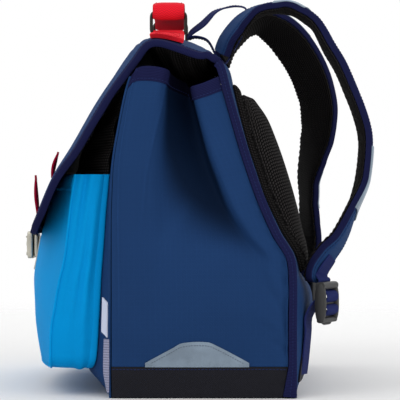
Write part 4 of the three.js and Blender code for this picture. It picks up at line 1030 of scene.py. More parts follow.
def tint_of(key):
    """A colour as the scene's settings give it, a little richer, and deepened for the bright studio."""
    depth = bpy.context.scene.satchel_sizes.depth
    colour = getattr(bpy.context.scene.satchel_colours, key)
    grey = sum(colour) / 3
    return tuple(max(0.0, grey + (channel - grey) * RICHNESS) * depth for channel in colour)


def make_finish(key):
    """The finish of that name, made from the scene's settings."""
    tint = tint_of(key)
    weave = bpy.context.scene.satchel_sizes.weave
    if key in CLOTHS:
        pattern, sizes, *looks = CLOTHS[key]
        sizes = [size or weave for size in sizes]
        return worn_cloth(key, tint, lambda finish: pattern(finish, *sizes), *looks)
    maker, *looks = OTHERS.get(key, (thread,))
    return maker(key, tint, *looks)


# Each cloth's pattern and the pattern's sizes, where None is the setting for the weave, then the depth of its
# relief, its roughness, wear, fuzz and contrast, as far as they differ from worn_cloth's own
CLOTHS = {
    "navy_cloth": (ripstop, (None, 5 * MM), 0.16 * MM, 0.72),
    "indigo_tape": (ribs, (1.5 * MM,), 0.3 * MM, 0.85, 0.3),
    "cyan_cloth": (plain_weave, (None,), 0.14 * MM, 0.7, 0.15, 0.12, 0.14),
    "crimson_cloth": (Finish.noise, (1200.0, 4.0), 0.3 * MM, 0.9, 0.1, 0.3, 0.2),
    "red_webbing": (chevrons, (1.3 * MM, 5 * MM), 0.25 * MM, 0.75, 0.2, 0.2, 0.2),
    "navy_webbing": (ribs, (1.3 * MM,), 0.3 * MM, 0.75, 0.3, 0.25, 0.35),
    "black_mesh": (holes, (2.7 * MM,), 0.6 * MM, 0.85, 0.2, 0.05, 0.9),
    "pad_mesh": (holes, (3.2 * MM,), 0.7 * MM, 0.85, 0.2, 0.05, 0.9),
    "grey_ribbed": (ribs, (2.4 * MM,), 0.4 * MM, 0.5, 0.2, 0.0, 0.35),
    "white_label": (plain_weave, (0.5 * MM,), 0.1 * MM, 0.8, 0.1, 0.1, 0.08),
    "lining": (plain_weave, (None,), 0.12 * MM, 0.9, 0.1, 0.1, 0.3),
}
OTHERS = {
    "black_coated": (black_coated,),
    "silver_patch": (reflective,),
    "nickel": (metal, 0.26, 0.03 * MM),
    "dark_nickel": (metal, 0.3, 0.03 * MM),
    "grey_plastic": (moulded,),
}
MADE = {}


def material(key):
    """The finish of that name, made once."""
    if key not in MADE:
        MADE[key] = make_finish(key)
    return MADE[key]


# Settings


def colour_setting(key, description, depth=1.0, colour=None):
    """A colour that a user may change. Its default is the record's or the one given, times a share."""
    name = key.replace("_", " ").capitalize()
    default = tuple(channel * depth for channel in colour or TINTS[key])
    return FloatVectorProperty(
        name=name, description=description, default=default, subtype="COLOR", size=3, min=0.0, max=1.0
    )


class SatchelColours(bpy.types.PropertyGroup):
    """Colours of the satchel's cloths, threads and metals."""

    navy_cloth: colour_setting("navy_cloth", "Sides, front, back, flap and straps", 0.95)
    indigo_tape: colour_setting("indigo_tape", "Bindings and hems", 0.95)
    black_coated: colour_setting("black_coated", "Foot band and anchor patches", 0.8)
    cyan_cloth: colour_setting("cyan_cloth", "Front pocket", 1.1)
    crimson_cloth: colour_setting("crimson_cloth", "Pointed tabs", 0.9)
    red_webbing: colour_setting("red_webbing", "Handle", colour=(0.83, 0.03, 0.045))
    navy_webbing: colour_setting("navy_webbing", "Strap webbing and hang loop", 0.9)
    black_mesh: colour_setting("black_mesh", "Padding's cover", 1.5)
    pad_mesh: colour_setting("pad_mesh", "Cover of the back's pads", 2.4, TINTS["black_mesh"])
    silver_patch: colour_setting("silver_patch", "Reflective patches", 0.95)
    grey_ribbed: colour_setting("grey_ribbed", "Corner strips", 0.9)
    white_label: colour_setting("white_label", "Blank label")
    nickel: colour_setting("nickel", "Clasp and rivets")
    dark_nickel: colour_setting("dark_nickel", "Handle rings", 0.3)
    grey_plastic: colour_setting("grey_plastic", "Buckles", 0.8)
    # Near black: partly the lining's own dark colour, partly painted shade so that the bag's inside reads dim
    lining: colour_setting("lining", "Inner face of the cloth", colour=(0.006, 0.007, 0.012))
    navy_thread: colour_setting("navy_thread", "Seams of navy cloth", colour=(0.02, 0.03, 0.1))
    cyan_thread: colour_setting("cyan_thread", "Seams of the pocket", colour=(0.004, 0.22, 0.52))
    red_thread: colour_setting("red_thread", "Seams of the handle", colour=(0.5, 0.01, 0.02))
    grey_thread: colour_setting("grey_thread", "Seams of the patches", colour=(0.12, 0.14, 0.18))
    black_thread: colour_setting("black_thread", "Seams of the padding", colour=(0.01, 0.01, 0.012))
    floor: colour_setting("floor", "Plain studio floor", colour=(0.9, 0.9, 0.9))


class SatchelSizes(bpy.types.PropertyGroup):
    """Sizes of the satchel's finer forms."""

    weave: FloatProperty(
        name="Weave", description="Distance between two threads", default=0.75 * MM, unit="LENGTH"
    )
    stitch: FloatProperty(
        name="Stitch", description="Distance between the sides' stitches", default=3.4 * MM, unit="LENGTH"
    )
    swell: FloatProperty(
        name="Swell", description="How far the padding may swell", default=6 * MM, unit="LENGTH"
    )
    depth: FloatProperty(name="Depth", description="Share of each colour that the light needs", default=0.88)
    pressure: FloatProperty(name="Pressure", description="Pressure of the foam on its cover", default=4.0)
    light: FloatProperty(name="Light", description="Power of the main light", default=9.0, unit="POWER")


# Padding

COVER_CLOTH = {
    "quality": 6,
    "mass": 0.2,
    "tension_stiffness": 12,
    "compression_stiffness": 6,
    "bending_stiffness": 1.5,
    "use_pressure": True,
}


def simulate(points, pinned, pressure, cap, frames=20):
    """Lets a grid of cloth, held where it is pinned, swell under pressure without gravity. Returns the grid
    with each point moved at most cap."""
    rows, columns = points.shape[:2]
    index = np.arange(rows * columns).reshape(rows, columns)
    quads = np.stack([index[:-1, :-1], index[:-1, 1:], index[1:, 1:], index[1:, :-1]], -1).reshape(-1, 4)
    obj = mesh_object("simulated", points.reshape(-1, 3), quads)
    group = obj.vertex_groups.new(name="pinned")
    group.add(np.flatnonzero(pinned.ravel()).tolist(), 1.0, "REPLACE")
    cloth = obj.modifiers.new("cloth", "CLOTH")
    settings = cloth.settings
    for key, value in COVER_CLOTH.items():
        setattr(settings, key, value)
    settings.uniform_pressure_force = pressure
    settings.vertex_group_mass = "pinned"
    settings.effector_weights.gravity = 0
    cloth.point_cache.frame_start = 1
    cloth.point_cache.frame_end = frames
    scene = bpy.context.scene
    for number in range(1, frames + 1):
        scene.frame_set(number)
    depsgraph = bpy.context.evaluated_depsgraph_get()
    shown = obj.evaluated_get(depsgraph).to_mesh()
    moved = np.empty(rows * columns * 3, np.float32)
    shown.vertices.foreach_get("co", moved)
    obj.evaluated_get(depsgraph).to_mesh_clear()
    bpy.data.objects.remove(obj)
    scene.frame_set(1)
    shift = moved.reshape(points.shape) - points
    size = np.linalg.norm(shift, axis=-1, keepdims=True)
    return points + shift * np.minimum(1, cap / np.maximum(size, 1e-9))


def finer(points, rows, columns):
    """The same grid with more rows and columns, by a Catmull-Rom curve each way."""
    tall = through(points.reshape(len(points), -1, 3), broadcast_share(rows, points.shape[1]))
    across = np.moveaxis(tall, 1, 0)
    return np.moveaxis(through(across, broadcast_share(columns, rows)), 1, 0)


def broadcast_share(count, copies):
    """Even shares from 0 to 1 as rows, repeated in columns."""
    return np.broadcast_to(np.linspace(0, 1, count)[:, None], (count, copies))


# Pieces


class SatchelSides(bpy.types.Operator):
    """Makes the two pleated sides, their taped hems and the black bands at their foot."""

    bl_idname = "satchel.sides"
    bl_label = "Sides"

    def execute(self, context):
        hem = 1 - HEM / (SIDE_HEIGHT - BAND_HEIGHT)
        across = np.linspace(0, 1, 150)[None]
        up = np.linspace(0, (1 + hem) / 2, 150)[:, None]
        hem_up = eased(12, hem, 1)[:, None]
        band_z = eased(22, 0, BAND_HEIGHT - GAP)[:, None]
        seams = []
        for name, sign, seed in SIDES:
            cloth = over(side_surface, across, up, seed)
            edge = over(side_surface, across, hem_up, seed)
            # Painted shade: the side and its hem go darker the further they turn inwards into the pleat's fold
            pleat_shade, hem_pleat_shade = (
                smooth(3 * MM, 19 * MM, FRONT_HALF - sheet[..., 0])[:, ::sign] for sheet in (cloth, edge)
            )
            band = over(side_at, across, band_z, seed)
            puffed = HEM_THICK * (0.35 + 0.25 * fall(np.linspace(-1, 1, len(hem_up)), 2, 0.5)[:, None])
            bulged = BAND_THICK * (0.4 + 0.3 * fall(np.linspace(-1, 1, len(band_z)), 2, 0.5)[:, None])
            piece(
                f"side_cloth_{name}", [sided(*cloth_wall(cloth), sign)],
                "navy_cloth", [f"side_panel_{name}"], "lining", dust=pleat_shade,
            )
            piece(
                f"side_hem_tape_{name}", [sided(thicken(edge, -puffed, puffed, True), sign)],
                "indigo_tape", [f"side_hem_{name}"], dust=hem_pleat_shade,
            )
            piece(
                f"foot_band_{name}", [sided(thicken(band, -bulged, bulged, True), sign)],
                "black_coated", [f"base_band_{name}"], "lining",
            )
            run = np.linspace(0.01, 0.99, 300)
            for level, lift in ((hem + 0.008, 0.58 * HEM_THICK), (1 - 0.008, 0.45 * HEM_THICK)):
                seams.append(seam_on(sign, *lifted(lambda a, b: side_surface(a, b, seed), run, level, lift)))
            level = BAND_HEIGHT - 2.6 * MM
            line = lifted(lambda a, b: side_at(a, b, seed), run, level, 0.62 * BAND_THICK)
            seams.append(seam_on(sign, *line))
        stitches("side_stitches", seams, "navy_thread", context.scene.satchel_sizes.stitch)
        return {"FINISHED"}


class SatchelFrontAndBack(bpy.types.Operator):
    """Makes the front wall, the back wall, the floor's finish and the tape that covers the rear seams."""

    bl_idname = "satchel.front_and_back"
    bl_label = "Front, back and rear tapes"

    def execute(self, context):
        x = np.linspace(-FRONT_HALF, FRONT_HALF, 90)[None]
        z = np.linspace(0, FRONT_HEIGHT, 90)[:, None]
        front = over(front_surface, x, z)
        piece("front_cloth", cloth_wall(front), "navy_cloth", ["front_panel"], "lining")
        x = np.linspace(BACK_HALF, -BACK_HALF, 90)[None]
        z = np.linspace(0, BACK_HEIGHT - 3 * MM, 110)[:, None]
        back = over(back_surface, x, z)
        piece("back_cloth", cloth_wall(back), "navy_cloth", ["back_panel"], "lining")
        frame["nodes"]["base_panel"].data.materials.clear()
        frame["nodes"]["base_panel"].data.materials.append(material("black_coated"))
        self.tapes()
        return {"FINISHED"}

    def tapes(self):
        """A rounded strip along each rear seam, and one across the top where the flap is sewn on."""
        z = np.linspace(1 * MM, BACK_HEIGHT - 3 * MM, 160)
        inset = tape_inset(z, 0) / 2
        wobble = 0.3 * MM * np.sin(z / (9 * MM))
        centre = np.stack([WIDTH / 2 - SEAM_SET + 1 * MM + wobble, rear_seam(z) - inset, z], 1)
        along = heading(centre)
        out = facing(centre, 1, 0, 0)
        wide = np.cross(along, out)
        width = TAPE * (1 + 0.7 * np.maximum(0, 1 - z / BAND_HEIGHT))
        sizes = np.stack([width, np.full_like(width, TAPE_THICK)], 1)[:, None]
        profile = rounded(1, 1, 28, 0.5)[None] * sizes
        ring = carry(centre, wide, out, profile)
        piece("rear_tape_right", [ring], "indigo_tape", ["back_binding_right"])
        piece("rear_tape_left", [sided(ring, -1)], "indigo_tape", ["back_binding_left"])
        x = np.linspace(FLAP_WIDTH / 2 - 1 * MM, -FLAP_WIDTH / 2 + 1 * MM, 120)
        seat, normal = on_flap(x, 0.012, -FLAP_THICK * 0.6)
        along = facing(seat, -1, 0, 0)
        wide = unit(np.cross(along, normal))
        ring = carry(seat, wide, normal, rounded(*TOP_TAPE, 24, 0.5)[None])
        piece("rear_top_tape", [ring], "indigo_tape")
        path = centre + out * (TAPE_THICK / 2 + 0.1 * MM)
        seams = [seam_on(sign, path, out) for sign in (1, -1)]
        stitches("rear_tape_stitches", seams, "navy_thread")


class SatchelFlap(bpy.types.Operator):
    """Makes the crowned flap, the tape rolled round its free edge and the two pointed tabs on it."""

    bl_idname = "satchel.flap"
    bl_label = "Flap"

    def execute(self, context):
        share = np.linspace(0, 1, 190)[:, None]
        across = np.linspace(1, -1, 150)[None]
        inset = FLAP_TAPE - 3 * MM
        at = share * (1 - inset / FLAP_LENGTH)
        half = flap_half((1 - at) * FLAP_LENGTH, inset)
        sheet = flap_surface(across * half, at + 0 * across)
        sheet = sheet + normals_of(sheet) * self.relief(across * half, at)[..., None]
        piece("flap_cloth", [thicken(sheet, -FLAP_THICK, 0)], "navy_cloth", ["flap"], "lining")
        self.binding()
        self.tabs()
        self.slack_lining()
        self.front_lining()
        return {"FINISHED"}

    def slack_lining(self):
        """The flap's lining hangs slack inside the mouth, from the back seam to the flap's bend: it sags by
        powers of a parabola both ways, with wrinkles that run across."""
        half = FLAP_WIDTH / 2 - SLACK_INSET
        x = np.linspace(half, -half, 120)[None]
        v = np.linspace(0, 1, 70)[:, None]
        edge = over(on_flap, x, 0.03 + 0.23 * v, -FLAP_THICK - 1 * MM)[0]
        sag = SLACK_SAG * fall(x / half, 2, 0.7) * fall(2 * v - 1, 2, 0.8)
        wrinkle = 2.2 * MM * np.sin(v * 26 + 3 * np.sin(x * 24)) * np.sin(np.pi * v)
        sheet = edge - np.stack([0 * sag, 0 * sag, sag + wrinkle], -1)
        # Near-black mesh finish: partly the lining's own colour, partly painted shade for the dark mouth under
        # the flap
        piece("flap_slack_lining", [thicken(sheet, -LINING_HALF, LINING_HALF)], "black_mesh")

    def front_lining(self):
        """Dark cloth that hangs before the front wall, from under the flap into the pocket: it stands forward
        by a power of a parabola across and of a quarter sine down, with wrinkles."""
        half = FLAP_WIDTH / 2 - HANGING_INSET
        x = np.linspace(-half, half, 110)[None]
        v = np.linspace(0, 1, 80)[:, None]
        z = POCKET_TOP - 6 * MM + (FRONT_HEIGHT + 4 * MM - POCKET_TOP) * v
        wall = over(front_surface, x, np.minimum(z, FRONT_HEIGHT))
        reach = HANGING_REACH * fall(x / half, 2, 0.7) * np.clip(np.sin(np.pi / 2 * (1 - v)), 0, 1) ** 0.9
        wrinkle = 1.6 * MM * np.sin(v * 19 + 2.5 * np.sin(x * 27)) * np.sin(np.pi * v)
        sheet = np.stack([wall[..., 0], wall[..., 1] - 3 * MM - reach - wrinkle, z + 0 * x], -1)
        # A near-black sheet in the shaded gap under the flap: partly cloth that fills the gap, partly painted
        # shade
        piece("flap_front_lining", [thicken(sheet, -LINING_HALF, LINING_HALF)], "black_mesh")

    def relief(self, x, at):
        """Shallow creases across the flap where it bends over the top, and slow unevenness elsewhere."""
        bend = bell(at - 0.27, 0.05) + 0.8 * bell(at - 0.06, 0.035)
        creases = np.sin(at * 190 + 1.6 * np.sin(x * 31)) * bend * 0.5 * MM
        return (creases + 0.7 * MM * ripple(x * 0.5, at * FLAP_LENGTH * 0.7, 5.2)) * smooth(0, 0.03, at)

    def binding(self):
        """A tape folded over the edge: two flat faces joined by a half circle at the free edge."""
        depth = eased(14, FLAP_TAPE, FLAP_TAPE_PROUD)
        turn = np.linspace(0, np.pi, 10)[1:-1]
        proud = FLAP_TAPE_PROUD * smooth(FLAP_TAPE, FLAP_TAPE - 2 * MM, depth)
        middle = -FLAP_THICK / 2
        half = FLAP_THICK / 2
        insets = np.concatenate([depth, FLAP_TAPE_PROUD * (1 - np.sin(turn)), depth[::-1]])
        tops = middle + half + proud
        arc = middle + (half + FLAP_TAPE_PROUD) * np.cos(turn)
        heights = np.concatenate([tops, arc, (middle - half - proud)[::-1]])
        points, normals = [], []
        for inset in insets:
            x, at = flap_outline(inset)
            point, normal = on_flap(x, at)
            points.append(point)
            normals.append(normal)
        points = np.stack(points, 1)
        normals = np.stack(normals, 1)
        run = np.arange(len(points))[:, None]
        wave = 0.25 * MM * np.sin(run * 0.55) * np.sin(run * 0.13)
        ring = points + normals * (heights + wave)[..., None]
        piece("flap_tape", [ring], "indigo_tape", ["flap_binding"])
        x, at = flap_outline(FLAP_TAPE - 2.2 * MM)
        outer = on_flap(x, at, FLAP_TAPE_PROUD + 0.1 * MM)
        under = on_flap(x, at, -FLAP_THICK - FLAP_TAPE_PROUD - 0.1 * MM)
        stitches("flap_stitches", [outer, under], "navy_thread")

    def tabs(self):
        """Leaves of felt, sewn at their foot: their width falls to a point, and they stand off and cup."""
        for name, (foot, long, stand_off) in TABS.items():
            v = eased(40)[:, None]
            u = np.linspace(1, -1, 21)[None]
            half = TAB_WIDTH / 2 * (0.8 + 0.2 * np.sin(np.pi * v**0.6))
            half = half * np.sqrt(np.maximum(0.0008, 1 - v**2.2))
            sheet = flap_surface(TAB_OUT + u * half, foot - v * long / FLAP_LENGTH + 0 * u)
            normal = normals_of(sheet[::-1])[::-1]
            lift = GAP + stand_off * v**1.3 + TAB_CUP * u**2 * np.sin(np.pi * np.minimum(v * 1.1, 1))
            sheet = sheet + normal * lift[..., None]
            piece(f"{name}_felt", [thicken(sheet[::-1], 0, TAB_THICK)], "crimson_cloth", [name])


class SatchelPocket(bpy.types.Operator):
    """Makes the front pocket: its bulging face, the folded wall round it and the rolls along its seams."""

    bl_idname = "satchel.pocket"
    bl_label = "Front pocket"

    def execute(self, context):
        inset = 0.6 * MM
        share = np.linspace(0, 1, 120)[:, None]
        u = np.linspace(-1, 1, 120)[None]
        z = POCKET_FOOT + inset + share * (POCKET_TOP - POCKET_FOOT - inset)
        x = u * pocket_half(z, inset)
        y = pocket_face(x, z + 0 * x)
        face = np.stack([x, y, z + 0 * x], -1)
        face = face + normals_of(face) * self.face_relief(x, z)[..., None]
        piece("pocket_face_cloth", cloth_wall(face), "cyan_cloth", ["pocket_front"], "lining")
        self.hem(face)
        self.walls()
        return {"FINISHED"}

    def face_relief(self, x, z):
        """Soft upright folds that fade to the edges, and slow unevenness."""
        up = (z - POCKET_FOOT) / (POCKET_TOP - POCKET_FOOT)
        folds = np.sin(x / (17 * MM) + 1.4 * np.sin(z / (60 * MM))) * 0.7 * MM * smooth(0.1, 0.6, up)
        edge = 1 - np.abs(x / pocket_half(z)) ** 6
        return (folds + 0.8 * MM * ripple(x * 0.6, z * 0.6, 9.4)) * edge * smooth(0, 0.08, up)

    def hem(self, face):
        """A turned edge along the pocket's mouth: its last rows, once more outside."""
        rows = face[-11:]
        puff = CLOTH / 2 + 0.9 * MM * fall(np.linspace(-1, 1, len(rows)), 2, 0.5)[:, None]
        piece("pocket_hem", [thicken(rows, CLOTH / 2 - 0.2 * MM, puff + 0.1 * MM, True)], "cyan_cloth")
        normal = normals_of(face)[-11]
        line = rows[1] + normal * (CLOTH / 2 + 0.9 * MM)
        stitches("pocket_hem_stitches", [(line, normal)], "cyan_thread")

    def outline(self, count=70):
        """The pocket's outline seen from the front: down one side, round the corners and up the other."""
        corner_x = POCKET_WIDTH / 2 - POCKET_CORNER
        corner_z = POCKET_FOOT + POCKET_CORNER
        z = np.linspace(POCKET_TOP, corner_z, count)
        angle = np.linspace(0, np.pi / 2, 18)[1:]
        x = np.linspace(corner_x, 0, count)[1:]
        down = np.stack([np.full_like(z, POCKET_WIDTH / 2), z], 1)
        arc = (corner_x, corner_z) + POCKET_CORNER * np.stack([np.cos(angle), -np.sin(angle)], 1)
        foot = np.stack([x, np.full_like(x, POCKET_FOOT)], 1)
        half = np.concatenate([down, arc, foot])
        return np.concatenate([half, half[-2::-1] * (-1, 1)])

    def walls(self):
        """The wall runs from the front of the bag to the face's seam, bellied by soft folds. Rolled edges lie
        along both of its seams."""
        x, z = self.outline().T
        rear = front_surface(x * 0.995, z)[:, 1] - CLOTH / 2 - 0.3 * MM
        seam = pocket_face(x, z)
        w = np.linspace(0, 1, 70)[None]
        y = rear[:, None] + (seam - rear)[:, None] * w
        sheet = np.stack([x[:, None] + 0 * w, y, z[:, None] + 0 * w], -1)
        out = normals_of(sheet)
        height = (z[:, None] - POCKET_FOOT) / (POCKET_TOP - POCKET_FOOT)
        belly = POCKET_BELLY * fall(2 * w - 1, 2, 0.8) * smooth(-0.15, 0.25, height)
        fold = 1.9 * MM * bell(w - 0.3 - 0.1 * height, 0.1)
        fold = fold - 2.4 * MM * bell(w - 0.62, 0.13) * smooth(0.3, 0.9, height)
        fold = fold + 1.2 * MM * np.sin(w * 21 + height * 3) * np.sin(np.pi * w) * smooth(0.1, 0.5, height)
        sheet = sheet + out * ((belly + fold) * fall(2 * w - 1, 2, 0.5))[..., None]
        ring = thicken(sheet, -0.9 * MM, 0.9 * MM)
        piece("pocket_wall_cloth", [ring], "cyan_cloth", ["pocket_gusset"], "lining")
        round_profile = rounded(PIPING, PIPING_THICK, 24, 0.7)[None]
        path = np.stack([x, rear - PIPING / 2, z], 1)
        level = facing(path, 0, -1, 0)
        outward = unit(np.cross(level, heading(path)))
        ring = carry(path + outward * 0.6 * MM, level, outward, round_profile)
        piece("pocket_rolled_edge", [ring], "cyan_cloth", ["pocket_piping"])
        path = np.stack([x, seam, z], 1)
        outward = unit(np.cross(level, heading(path)))
        roll = rounded(SEAM_ROLL, SEAM_ROLL, 14, 1.0)[None]
        ring = carry(path + outward * 0.8 * MM, level, outward, roll)
        piece("pocket_seam_roll", [ring], "cyan_cloth")
        inner = path + outward * 1.1 * MM - level * 4 * MM
        stitches("pocket_stitches", [(inner, outward)], "cyan_thread")


class SatchelPatches(bpy.types.Operator):
    """Makes the silver patches, the ribbed corner strips, the blank label and the black anchor patches."""

    bl_idname = "satchel.patches"
    bl_label = "Patches"

    def execute(self, context):
        seams = []
        for name, sign, seed in SIDES:
            seams.append(self.side_patch(name, sign, seed))
            x = np.linspace(FRONT_HALF - CORNER_PATCH_WIDTH, FRONT_HALF, 24)[None]
            z = np.linspace(STRIP_FOOT, STRIP_FOOT + CORNER_PATCH_HEIGHT, 60)[:, None]
            strip = over(front_surface, x, z)
            ring = sided(patch_on(strip), sign)
            piece(f"corner_strip_{name}", [ring], "grey_ribbed", [f"corner_reflector_{name}"])
            v = np.linspace(0, 1, 40)[:, None]
            u = np.linspace(1, -1, 30)[None]
            half = ANCHOR_PATCH_WIDTH / 2 * (1 - ANCHOR_PATCH_TAPER * v)
            height = ANCHOR_PATCH_FOOT + v * ANCHOR_PATCH_HEIGHT
            sheet = over(back_surface, ANCHOR_OUT + u * half, height)
            ring = sided(patch_on(sheet, 0.6 * MM), sign)
            piece(f"anchor_cloth_{name}", [ring], "black_coated", [f"anchor_patch_{name}"])
        self.label()
        stitches("patch_stitches", seams, "grey_thread", 2.6 * MM, 1.8 * MM, 0.28 * MM)
        return {"FINISHED"}

    def side_patch(self, name, sign, seed):
        """An arched patch on the side's own surface, and the line of its stitches."""
        u = eased(90)
        run = np.linspace(0, 1, 2001)
        level = BAND_HEIGHT + 12 * MM
        _, section_y = side_section(run, np.full_like(run, level))
        target = (SIDE_PATCH_MIDDLE - 0.5 + SIDE_PATCH_LENGTH / DEPTH * (u - 0.5)) * DEPTH
        across = np.interp(target, section_y, run)[None]
        height = SIDE_PATCH_HEIGHT * read(SIDE_ARCH, "height", u)[None]
        v = np.linspace(0, 1, 30)[:, None]
        sheet = side_at(across + 0 * v, BAND_HEIGHT - 0.5 * MM + v * (height + SEAM), seed)
        lift = CLOTH / 2 + 0.25 * MM * (1 + ripple(sheet[..., 1] * 2.5, sheet[..., 2] * 2.5, 3.3))
        ring = sided(thicken(sheet, CLOTH / 2 - 0.3 * MM, lift + 0.7 * MM, True), sign)
        piece(f"silver_patch_{name}", [ring], "silver_patch", [f"side_reflector_{name}"])
        edge = side_at(across[0], BAND_HEIGHT + height[0] - 2.2 * MM, seed)
        keep = height[0] > 5 * MM
        normal = facing(edge, 1, 0, 0)
        return seam_on(sign, (edge + normal * 2.2 * MM)[keep], normal[keep])

    def label(self):
        """A small blank label folded double and sewn in askew, its free edge standing a little forward."""
        foot = STRIP_FOOT + CORNER_PATCH_HEIGHT + LABEL_GAP
        x = np.linspace(FRONT_HALF - 2 * MM - LABEL_WIDTH, FRONT_HALF - 2 * MM, 20)[None]
        share = (x - x.min()) / LABEL_WIDTH
        z = np.linspace(foot, foot + LABEL_HEIGHT, 50)[:, None] + LABEL_SLANT * (0.5 - share)
        sheet = over(front_surface, x, z)
        sheet = sheet + np.stack([0 * share, -LABEL_LIFT * (1 - share) ** 2, 0 * share], -1)
        piece("blank_label", [patch_on(sheet)], "white_label", ["side_label"])


class SatchelClasp(bpy.types.Operator):
    """Makes the tuck clasp: its plate, the rounded lock body with its button, and the two rivets."""

    bl_idname = "satchel.clasp"
    bl_label = "Clasp"

    def execute(self, context):
        low, high = (np.array(corner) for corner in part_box("clasp_lock"))
        centre = (low + high) / 2
        size = high - low
        size[2] *= 0.82
        low[1] += 3 * MM
        centre[1] = low[1] + CLASP_FRONT / 2
        z = eased(30, -0.5, 0.5)
        corner = ((np.abs(z) - 0.42) / 0.08).clip(0)
        taper = np.minimum(1, np.sqrt(np.maximum(0, 1 - corner**2)) * 0.12 + 0.88)
        forward = np.interp(z, (-0.5, -0.2, 0.28, 0.5), (0.86, 1.0, 1.0, 0.9))
        path = np.stack([0 * z, centre[1] + (1 - forward) * CLASP_FRONT / 2, centre[2] + z * size[2]], 1)
        wide = facing(path, 1, 0, 0)
        out = facing(path, 0, -1, 0)
        swelling = np.stack([taper, taper * forward], 1)[:, None]
        body = carry(path, -wide, out, rounded(size[0], CLASP_FRONT, 40, 0.28)[None] * swelling)
        rear = path + np.array([0, (CLASP_FRONT + CLASP_REAR) / 2 + 0.5 * MM, 0])
        rear[:, 2] = centre[2] + (rear[:, 2] - centre[2]) * 0.86 - 1 * MM
        seat = carry(rear, -wide, out, rounded(size[0] * 0.9, CLASP_REAR, 40, 0.28)[None] * swelling)
        face_y = low[1] - 0.2 * MM
        button = self.knob((0, face_y, centre[2] + 1 * MM), *CLASP_BUTTON)
        ears = [self.knob((x * MM, face_y, centre[2] - 9 * MM), *CLASP_EAR) for x in (12, -12)]
        groove = self.bar(centre[2] + size[2] * 0.3, face_y, size[0] * 0.72)
        piece("clasp_body", [body, seat, button, groove, *ears], "nickel", ["clasp_lock"])
        self.plate()
        rivets = [self.rivet(name) for name in ("right", "left")]
        piece("clasp_rivets", rivets, "nickel", ["clasp_rivet_right", "clasp_rivet_left"])
        return {"FINISHED"}

    def knob(self, place, radius_x, radius_z, height):
        """A domed button on the front: ellipses that shrink as the square root towards its top."""
        t = np.linspace(0, 1, 12)
        scale = np.sqrt(np.maximum(0.004, 1 - t**2.4))
        angle = circle_angles(28)
        x = place[0] + scale[:, None] * radius_x * np.cos(angle)
        z = place[2] - scale[:, None] * radius_z * np.sin(angle)
        y = place[1] + 0.5 * MM - (height + 0.5 * MM) * t[:, None] + 0 * angle
        return np.stack([x, y, z], -1)[:, ::-1]

    def bar(self, z, y, width):
        """A thin raised rib across the body."""
        x = np.linspace(width / 2, -width / 2, 20)
        path = np.stack([x, np.full_like(x, y), np.full_like(x, z)], 1)
        wide = facing(path, 0, 0, -1)
        out = facing(path, 0, -1, 0)
        return carry(path, wide, out, rounded(1.8 * MM, 1.6 * MM, 12, 0.8)[None])

    def plate(self):
        """The backing plate: a thin sheet bent to the pocket's face."""
        low, high = (np.array(corner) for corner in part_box("clasp_plate"))
        x = np.linspace(low[0], high[0], 30)[None]
        z = np.linspace(low[2], high[2], 30)[:, None]
        y = pocket_face(x, z)
        sheet = np.stack([x + 0 * z, y, z + 0 * x], -1)
        ring = thicken(sheet, CLOTH / 2 + 0.2 * MM, CLOTH / 2 + 1.9 * MM, True)
        piece("clasp_backing", [ring], "nickel", ["clasp_plate"])

    def rivet(self, side):
        """A domed rivet head on the flap, at its solid's place across: circles that shrink as a root."""
        low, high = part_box(f"clasp_rivet_{side}")
        seat, normal = on_flap((low[0] + high[0]) / 2, 1 - RIVET_RISE / FLAP_LENGTH)
        across = np.array([1.0, 0, 0])
        up = np.cross(normal, across)
        t = np.linspace(0, 1, 12)[:, None]
        angle = circle_angles(24)
        scale = np.sqrt(np.maximum(0.004, 1 - t**2.2)) * RIVET_RADIUS
        ring = seat + normal * (t * RIVET_HEIGHT)[..., None] + across * (scale * np.cos(angle))[..., None]
        return ring + up * (scale * np.sin(angle))[..., None]


